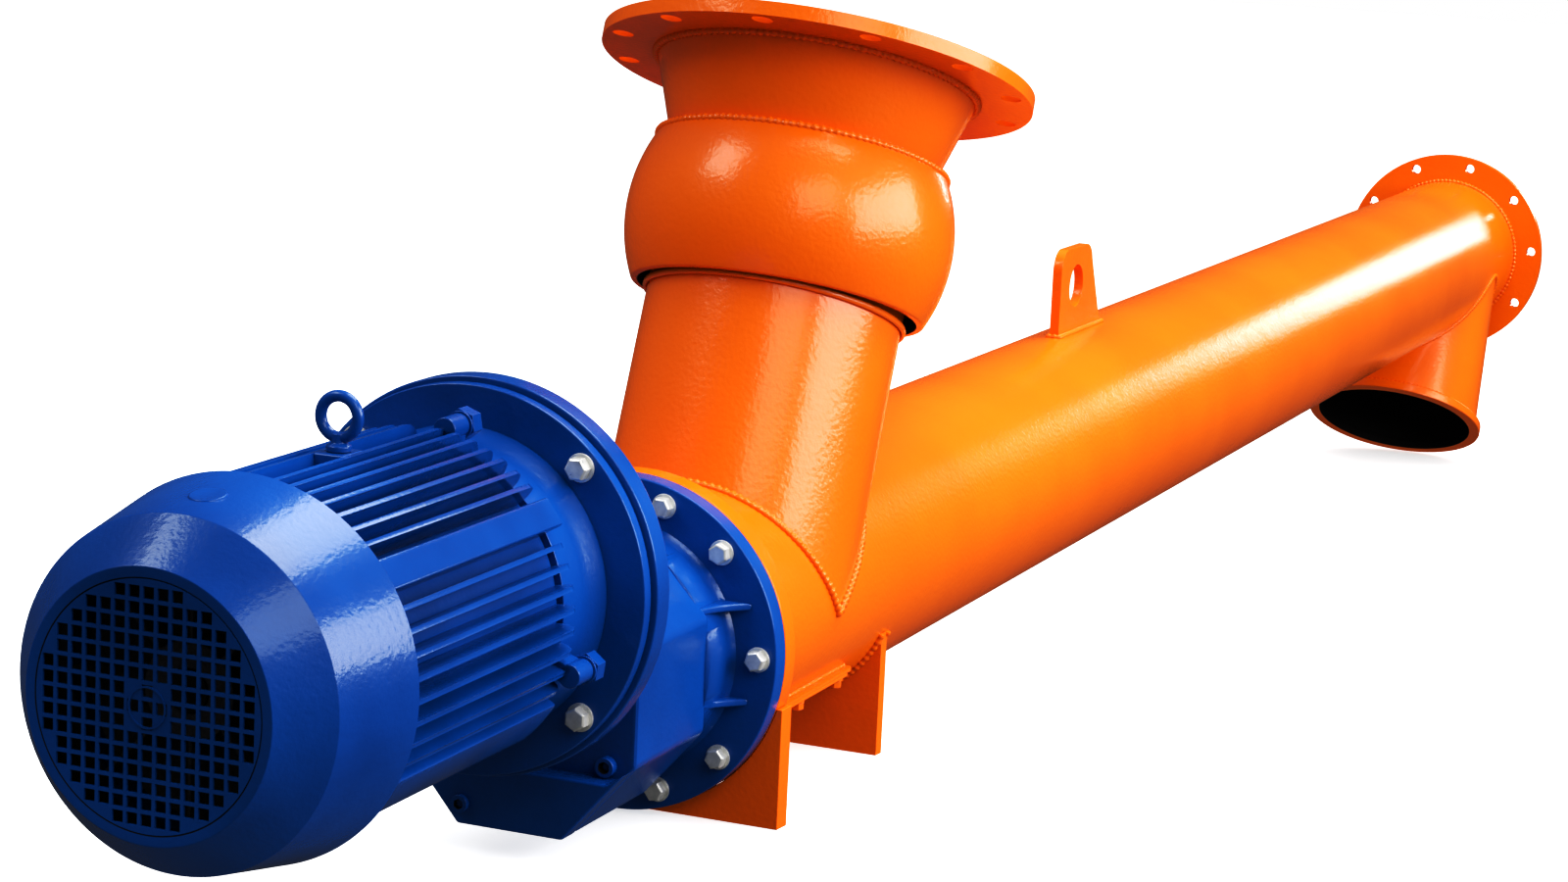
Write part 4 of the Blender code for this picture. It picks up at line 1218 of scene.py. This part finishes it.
# %% Auger
FLIGHT_START = 0.0300
FLIGHT_PITCH = 0.2000
FLIGHT_R = 0.1000
FLIGHT_T = 0.0050
FLIGHT_TURNS = 14
STEPS_A_TURN = 48


def flight_tree():
    tree, start = open_tree("flight", "Turns", "Pitch", "Inner radius", "Outer radius")
    rows = maths(tree, "MULTIPLY_ADD", start["Turns"], float(STEPS_A_TURN), 1.0)
    grid = add(tree, "GeometryNodeMeshGrid", Size_X=1.0, Size_Y=1.0, Vertices_X=4)
    tree.links.new(rows, grid.inputs["Vertices Y"])
    spot = coordinates(tree)
    across = maths(tree, "ADD", spot["X"], 0.5)
    wound = times(tree, maths(tree, "ADD", spot["Y"], 0.5), start["Turns"])
    angle = times(tree, wound, 2 * math.pi)
    width = maths(tree, "SUBTRACT", start["Outer radius"], start["Inner radius"])
    radius = maths(tree, "ADD", times(tree, across, width), start["Inner radius"])
    x, y = [times(tree, radius, maths(tree, rule, angle)) for rule in ("COSINE", "SINE")]
    place = xyz(tree, x, y, times(tree, wound, start["Pitch"]))
    strip = add(tree, "GeometryNodeSetPosition", Geometry=grid.outputs[0], Position=place).outputs[0]
    return close_tree(tree, start, strip)


flight_sizes = {"Turns": FLIGHT_TURNS, "Pitch": FLIGHT_PITCH}
flight_sizes.update({"Inner radius": SHAFT_R + SEAT, "Outer radius": FLIGHT_R})
flight_place = TUBE @ shifted(x=FLIGHT_START) @ LAID
nothing = point_mesh("auger_flight_skin", [])
flight = grown("auger_flight_skin", nothing, flight_tree(), AUGER_STEEL, flight_place, flight_sizes)
thick = flight.modifiers.new("plate", "SOLIDIFY")
thick.thickness = FLIGHT_T
thick.offset = 0
apply_modifiers(flight)
soften(flight, 0)
flight_nodes = sorted(name for name in frame["nodes"] if name.startswith("auger_flight"))
keep(flight, AUGER_STEEL, flight_nodes)
shaft = disc(SHAFT_R, SEAT, TUBE_LENGTH - END_PLATE_INSET, 64)
piece("auger_shaft", shaft, LYING, finish=AUGER_STEEL)

# %% [markdown]
# Hexagon bolts hold the flanges together, each on a washer. A bolt head is a six-sided prism whose
# top corners are turned off. The tree builds head, corner and washer once, and stands them on every
# point with a random turn, as a spanner leaves them. The seed is fixed, so they always turn alike.

# %% Bolts
CORNER_INSET = 0.82
CORNER_SHARE = 0.16
WASHER_T = 0.0020
HEAD_RISE = 0.85
TIE_NUT_RISE = 1.10
# The radius of each kind's head and of its washer
GEAR_BOLT = (0.0085, 0.0100)
GEAR_NUT = (0.0098, 0.0110)
MOTOR_BOLT = (0.0088, 0.0105)
HATCH_BOLT = (0.0062, 0.0064)
TIE_NUT = (0.0116, 0.0100)


def bolt_tree():
    tree, start = open_tree("bolts", "Head radius", "Head height", "Washer radius", "Washer height", "Seed")
    radius, height, under = start["Head radius"], start["Head height"], start["Washer height"]
    washer = prism(tree, 32, start["Washer radius"], under)
    washer = carried(tree, washer, xyz(tree, z=times(tree, under, 0.5)))
    middle = maths(tree, "ADD", under, times(tree, height, 0.5))
    head = carried(tree, prism(tree, 6, radius, height), xyz(tree, z=middle))
    corner = add(tree, "GeometryNodeMeshCone", Vertices=6, Radius_Bottom=radius)
    tree.links.new(times(tree, radius, CORNER_INSET), corner.inputs["Radius Top"])
    tree.links.new(times(tree, height, CORNER_SHARE), corner.inputs["Depth"])
    top = xyz(tree, z=maths(tree, "ADD", under, height))
    bolt = merged(tree, washer, head, carried(tree, corner.outputs["Mesh"], top))
    random = add(tree, "FunctionNodeRandomValue", {"data_type": "FLOAT"}, Seed=start["Seed"])
    turn_by = times(tree, random.outputs["Value"], math.pi)
    return close_tree(tree, start, on_points(tree, start["Geometry"], bolt, xyz(tree, z=turn_by)))


BOLTS = bolt_tree()
FACING_MOTOR = tilted(-math.pi / 2)
FACING_TUBE = tilted(math.pi / 2)


def bolt_set(name, spots, place, kind, seed, finish=ZINC, rise=HEAD_RISE):
    """Bolts that stand on (x, y) spots of a plane, with their heads towards its Z."""
    head, washer = kind
    sizes = {"Head radius": head, "Head height": head * rise}
    sizes.update({"Washer radius": washer, "Washer height": WASHER_T, "Seed": seed})
    points = point_mesh(name, [(x, y, 0) for x, y in spots])
    made = grown(name, points, BOLTS, finish, place, sizes)
    soften(made, 0.0004)
    return keep(made, finish)


def at_angles(radius, angles):
    """Spots on a plane that faces the motor, for angles from the right side (-Y) towards up."""
    turns = [math.radians(angle) for angle in angles]
    return [(radius * math.sin(turn), -radius * math.cos(turn)) for turn in turns]


GEAR_BOLT_R = 0.1195
GEAR_BOLTS = both_sides((1.5, 44.5, 73, -41.5))
LOW_BOLTS = both_sides((-71,))
MOTOR_BOLT_R = 0.1290
HATCH_BOLT_X = (0.0450, 0.1290, 0.2130)
HATCH_BOLT_Y = 0.0935
HATCH_WING_T = 0.0027
gear_spots = at_angles(GEAR_BOLT_R, GEAR_BOLTS + LOW_BOLTS)
gear_place = TUBE @ shifted(x=-GEAR_FLANGE_T) @ FACING_MOTOR
bolt_set("gear_flange_bolts", gear_spots, gear_place, GEAR_BOLT, 3)
nut_spots = [(-up, across) for up, across in at_angles(GEAR_BOLT_R, GEAR_BOLTS)]
nut_place = TUBE @ shifted(x=PLATE_T) @ FACING_TUBE
bolt_set("gear_flange_nuts", nut_spots, nut_place, GEAR_NUT, 4)
motor_spots = at_angles(MOTOR_BOLT_R, both_sides((46, -42)))
motor_place = MOTOR @ shifted(x=MOTOR_FLANGE_FRONT) @ FACING_MOTOR
bolt_set("motor_flange_bolts", motor_spots, motor_place, MOTOR_BOLT, 5)
hatch_spots = [(x, side * HATCH_BOLT_Y) for x in HATCH_BOLT_X for side in (-1, 1)]
hatch_place = TUBE @ shifted(z=HATCH_JOINT - SEAT - HATCH_WING_T) @ tilted(math.pi, "X")
bolt_set("hatch_bolts", hatch_spots, hatch_place, HATCH_BOLT, 8, ORANGE)

# %% [markdown]
# Tie bolts run through the motor and hold its two end shields on. Each passes through a small ear
# on the shield and ends in a nut, and all of it was painted blue with the motor.

# %% Tie bolts
EARS = ((83.0, 0.1220), (-19.0, 0.1230), (199.0, 0.1230))
EAR_X = BODY_FRONT + 0.0020
EAR_R = 0.0085
EAR_HALF = 0.0110

ears = []
for angle, radius in EARS:
    knob = moved(disc(EAR_R, -EAR_HALF, EAR_HALF, 32), shifted(y=-radius) @ LAID)
    web = block((-EAR_HALF, -radius, -EAR_R * 0.8), (EAR_HALF, -CORE_R, EAR_R * 0.8))
    ears.append(moved(joined(knob, web), tilted(-math.radians(angle), "X")))
ear_piece = solid("tie_bolt_ears", joined(*ears), MOTOR @ shifted(x=EAR_X))
soften(ear_piece, 0.0010)
keep(ear_piece, BLUE)
tie_spots = [(-up, across) for angle, radius in EARS for up, across in at_angles(radius, (angle,))]
tie_place = MOTOR @ shifted(x=EAR_X + EAR_HALF) @ FACING_TUBE
bolt_set("tie_bolt_nuts", tie_spots, tie_place, TIE_NUT, 11, BLUE, TIE_NUT_RISE)

# %% [markdown]
# The plates are welded to the tube by hand. A weld bead is a row of small overlapping puddles, so it
# looks like a rope laid in the corner, and the paint runs over it. A plain round wire there looks
# drawn on. The tree resamples each path finely, swells and thins the bead along its length, shakes it
# a little and gives it a round section. Where two tubes meet, the path is found by halving.

# %% Weld beads
RIPPLE_LENGTH = 0.0062
RIPPLE = 0.24
SHAKE = 0.0010
# A bead's path runs this far outside the corner that it fills
PROUD = 0.0010
HALVINGS = 30
HEAVY_BEAD = 0.0034
BEAD = 0.0030
LIGHT_BEAD = 0.0028
BAR_BEAD = 0.0024


def weld_tree():
    tree, start = open_tree("weld", "Bead radius", "Ripple", "Ripple length", "Shake")
    path = add(tree, "GeometryNodeMeshToCurve", Mesh=start["Geometry"]).outputs[0]
    fine = add(tree, "GeometryNodeResampleCurve", {"mode": "LENGTH"}, Curve=path)
    tree.links.new(maths(tree, "DIVIDE", start["Ripple length"], 4.0), fine.inputs["Length"])
    along = add(tree, "GeometryNodeSplineParameter").outputs["Length"]
    phase = maths(tree, "DIVIDE", times(tree, along, 2 * math.pi), start["Ripple length"])
    swell = maths(tree, "ADD", 1.0, times(tree, maths(tree, "SINE", phase), start["Ripple"]))
    cloud = add(tree, "ShaderNodeTexNoise", Scale=160.0, Detail=1.0).outputs["Color"]
    centred = add(tree, "ShaderNodeVectorMath", {"operation": "SUBTRACT"})
    tree.links.new(cloud, centred.inputs[0])
    centred.inputs[1].default_value = (0.5, 0.5, 0.5)
    shake = add(tree, "ShaderNodeVectorMath", {"operation": "SCALE"}, Scale=start["Shake"])
    tree.links.new(centred.outputs[0], shake.inputs[0])
    shaken = add(tree, "GeometryNodeSetPosition", Geometry=fine.outputs[0], Offset=shake.outputs[0])
    section = add(tree, "GeometryNodeCurvePrimitiveCircle", Resolution=8, Radius=start["Bead radius"])
    bead = add(tree, "GeometryNodeCurveToMesh", Curve=shaken.outputs[0], Scale=swell, Fill_Caps=True)
    tree.links.new(section.outputs[0], bead.inputs["Profile Curve"])
    return close_tree(tree, start, bead.outputs[0])


WELD = weld_tree()


def path_mesh(name, loops):
    """Edges through each loop of points, closed where it is marked so."""
    points, edges = [], []
    for loop, is_closed in loops:
        first = len(points)
        points += [tuple(point) for point in loop]
        edges += [(i, i + 1) for i in range(first, len(points) - 1)]
        if is_closed:
            edges.append((len(points) - 1, first))
    mesh = bpy.data.meshes.new(name)
    mesh.from_pydata(points, edges, [])
    return mesh


def circle_at(place, radius, height, steps=144):
    """A closed circle about a frame's axis."""
    return [place @ Vector((x, y, height)) for x, y in on_circle(steps, radius)], True


def meeting_line(place, radius_at, outer, gap=0.0005):
    """Where a round piece about a frame's axis meets the tube."""
    to_tube = TUBE.inverted()
    points = []
    for across, aside in on_circle(180, 1.0):
        low, high = 0.0, outer
        for _ in range(HALVINGS):
            height = (low + high) / 2
            radius = radius_at(height) + gap
            point = place @ Vector((radius * across, radius * aside, height))
            local = to_tube @ point
            if math.hypot(local.y, local.z) < TUBE_R + gap:
                low = height
            else:
                high = height
        points.append(point)
    return points, True


def weld_piece(name, loops, radius):
    sizes = {"Bead radius": radius, "Ripple": RIPPLE, "Ripple length": RIPPLE_LENGTH, "Shake": SHAKE}
    made = grown(name, path_mesh(name, loops), WELD, ORANGE, STILL, sizes)
    made.data.shade_smooth()
    return keep(made, ORANGE)


def spout_edge():
    """The spout meets the tube from below, so heights are measured back from its top."""
    back = MOUTH @ shifted(z=SPOUT_LENGTH) @ tilted(math.pi, "X")
    return meeting_line(back, lambda height: spout_radius(SPOUT_LENGTH - height), SPOUT_LENGTH)


weld_piece("neck_weld", [meeting_line(NECK, lambda height: TUBE_R, NECK_TOP)], HEAVY_BEAD)
spout_foot = circle_at(MOUTH, spout_radius(OUTLET_RING_T), OUTLET_RING_T + PROUD)
weld_piece("spout_weld", [spout_edge(), spout_foot], LIGHT_BEAD)
weld_piece("drive_flange_weld", [circle_at(LYING, TUBE_R + PROUD, PLATE_T + PROUD)], HEAVY_BEAD)
end_height = TUBE_LENGTH - END_FLANGE_T - PROUD
weld_piece("end_flange_weld", [circle_at(LYING, TUBE_R + PROUD, end_height)], BEAD)
ball_rim = math.sqrt(BALL_R ** 2 - BALL_TOP ** 2)
weld_piece("ball_welds", [
    circle_at(BALL, ball_rim - 0.0010, BALL_TOP + 0.0004),
    circle_at(BALL, CONE_LOW_R + 0.0022, BALL_TOP + 0.0014),
    circle_at(BALL, CONE_TOP_R + 0.0008, INLET_FLANGE_AT - 0.0012),
], BEAD)

# %% [markdown]
# The lug, the feet and the hatch bars have straighter welds: a loop round the lug's foot, an arc on
# each face of the rear foot, and a line along the outer edge of each bar.

# %% Welds on plates
LUG_BEAD_R = TUBE_R + 0.0008


def lug_loop():
    half = LUG_T / 2 + PROUD
    near, far = LUG_X - PROUD, LUG_X + LUG_LENGTH + PROUD
    height = math.sqrt(LUG_BEAD_R ** 2 - half ** 2)
    corners = [(near, -half), (far, -half), (far, half), (near, half)]
    return [TUBE @ Vector((x, y, height)) for x, y in corners], True


arc_start = 180 + math.degrees(math.asin(-REAR_FOOT_TOP / TUBE_R))
foot_arcs = []
for face in (REAR_FOOT_X - PROUD, REAR_FOOT_X + REAR_FOOT_T + PROUD):
    round_foot = arc(TUBE_R + PROUD, math.radians(arc_start), math.radians(540 - arc_start), 49)
    foot_arcs.append(([TUBE @ Vector((face, y, z)) for y, z in round_foot], False))
weld_piece("lug_weld", [lug_loop()], BEAD)
weld_piece("foot_welds", foot_arcs, BEAD)
bar_lines = []
bar_edge = math.sqrt(TUBE_R ** 2 - HATCH_TOP ** 2) + PROUD
ends = (HATCH_START + 0.004, HATCH_END - 0.004)
for side in (-1, 1):
    bar_lines.append(([TUBE @ Vector((x, side * bar_edge, HATCH_TOP + PROUD)) for x in ends], False))
weld_piece("hatch_bar_welds", bar_lines, BAR_BEAD)

# %% [markdown]
# The machine stands on a pale floor in a white studio. A bare world light would flatten it, and one
# lamp would give hard shadows, so there are soft panels: a large one overhead for the shapes, one
# beyond the far end that draws the long highlight on the tube, a large one at the near side, and two
# smaller ones ahead of the motor, over its far shoulder and over its front. The floor glows a little,
# so that it stays white to the horizon, and it is left out of the gloss and the bounced light, which
# the room below gives.

# %% Floor and light
FLOOR_SIZE = 500.0
FLOOR_LOW = -0.0200
FLOOR_TOP = -0.0002
FLOOR_GLOW = 0.55


def floor_finish():
    material, tree, shader, where = fresh("pale_floor")
    cloud = noise(tree, where, 1.2, 3.0)
    set_shader(tree, shader, {
        "Base Color": tones(tree, cloud, [(0.3, (0.86, 0.86, 0.86)), (0.7, (0.90, 0.90, 0.90))]),
        "Roughness": 0.6,
        "Emission Color": (1.0, 1.0, 1.0, 1.0),
        "Emission Strength": FLOOR_GLOW,
    })
    return material


corners = [(x * FLOOR_SIZE, y * FLOOR_SIZE) for x, y in ((-1, -1), (1, -1), (1, 1), (-1, 1))]
ground = solid("floor", plate(corners, FLOOR_LOW, FLOOR_TOP), STILL)
ground.data.materials.append(floor_finish())
ground.visible_glossy = False
ground.visible_diffuse = False
ground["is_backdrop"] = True


def panel(name, place, target, size, power, colour):
    """A soft rectangular light that faces a point."""
    data = bpy.data.lights.new(name, "AREA")
    data.shape = "RECTANGLE"
    data.size, data.size_y = size
    data.energy = power
    data.color = colour
    made = bpy.data.objects.new(name, data)
    made.location = place
    made.rotation_euler = (Vector(target) - Vector(place)).to_track_quat("-Z", "Y").to_euler()
    made.visible_camera = False
    scene.collection.objects.link(made)


panel("overhead", (0.2, -0.7, 3.4), (0.0, 0.0, 0.3), (4.0, 1.8), 135.0, (1.0, 0.99, 0.97))
panel("far_end", (5.2, -0.85, 1.25), (0.3, 0.0, 0.3), (0.5, 0.8), 11.0, (1.0, 0.94, 0.94))
panel("side", (-0.5, -3.4, 1.5), (-0.6, 0.0, 0.3), (3.6, 1.7), 140.0, (1.0, 0.98, 1.0))
panel("shoulder", (-2.6, 1.6, 2.6), (-0.7, 0.0, 0.4), (1.2, 1.2), 26.0, (0.97, 0.98, 1.0))
panel("front", (-3.1, -1.9, 2.0), (-1.7, 0.0, 0.3), (1.7, 1.3), 22.0, (1.0, 1.0, 1.0))

# %% [markdown]
# The room round the panels is light above, dim at the sides and nearly dark ahead of the machine, so
# that faces turned ahead stay deep. Gloss would mirror that room as a grey veil over the paint. A
# photographer hangs black cloth against it, and the world does the same here: mirror rays meet a
# darker room than the light does. The picture is printed with some contrast, so a gentle curve
# deepens the shades and leaves the lights as they are.

# %% Room
ROOM_ABOVE = 2.00
ROOM_SIDES = 0.60
ROOM_AHEAD = 0.25
ROOM_MIRRORED = 0.06
ROOM_BEHIND = 1.0
PRINT_CURVE = ((0.07, 0.030), (0.16, 0.100), (0.34, 0.320), (0.60, 0.640))

world = bpy.data.worlds.new("studio")
scene.world = world
world.use_nodes = True
room = world.node_tree
direction = add(room, "ShaderNodeTexCoord").outputs["Generated"]
toward = add(room, "ShaderNodeSeparateXYZ", Vector=direction).outputs
dome = add(room, "ShaderNodeMapRange", Value=toward["Z"], From_Max=0.9, To_Min=ROOM_SIDES)
dome.inputs["To Max"].default_value = ROOM_ABOVE
ahead = add(room, "ShaderNodeMapRange", Value=toward["X"], From_Min=-0.7, From_Max=0.3)
ahead.inputs["To Min"].default_value = ROOM_AHEAD
lit = times(room, dome.outputs[0], ahead.outputs[0])
rays = add(room, "ShaderNodeLightPath").outputs
mirrored_part = add(room, "ShaderNodeMix", Factor=rays["Is Glossy Ray"], A=lit, B=ROOM_MIRRORED)
seen = add(room, "ShaderNodeMix", Factor=rays["Is Camera Ray"], A=mirrored_part.outputs[0], B=ROOM_BEHIND)
background = room.nodes["Background"]
background.inputs["Color"].default_value = (1.0, 1.0, 1.0, 1.0)
room.links.new(seen.outputs[0], background.inputs["Strength"])
scene.view_settings.view_transform = "Standard"
scene.view_settings.look = "None"
scene.view_settings.use_curve_mapping = True
contrast = scene.view_settings.curve_mapping
for shade, shown in PRINT_CURVE:
    contrast.curves[3].points.new(shade, shown)
contrast.update()

# %% Sizes
low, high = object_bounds()
print("visual box", [round(value, 4) for value in (*low, *high)])
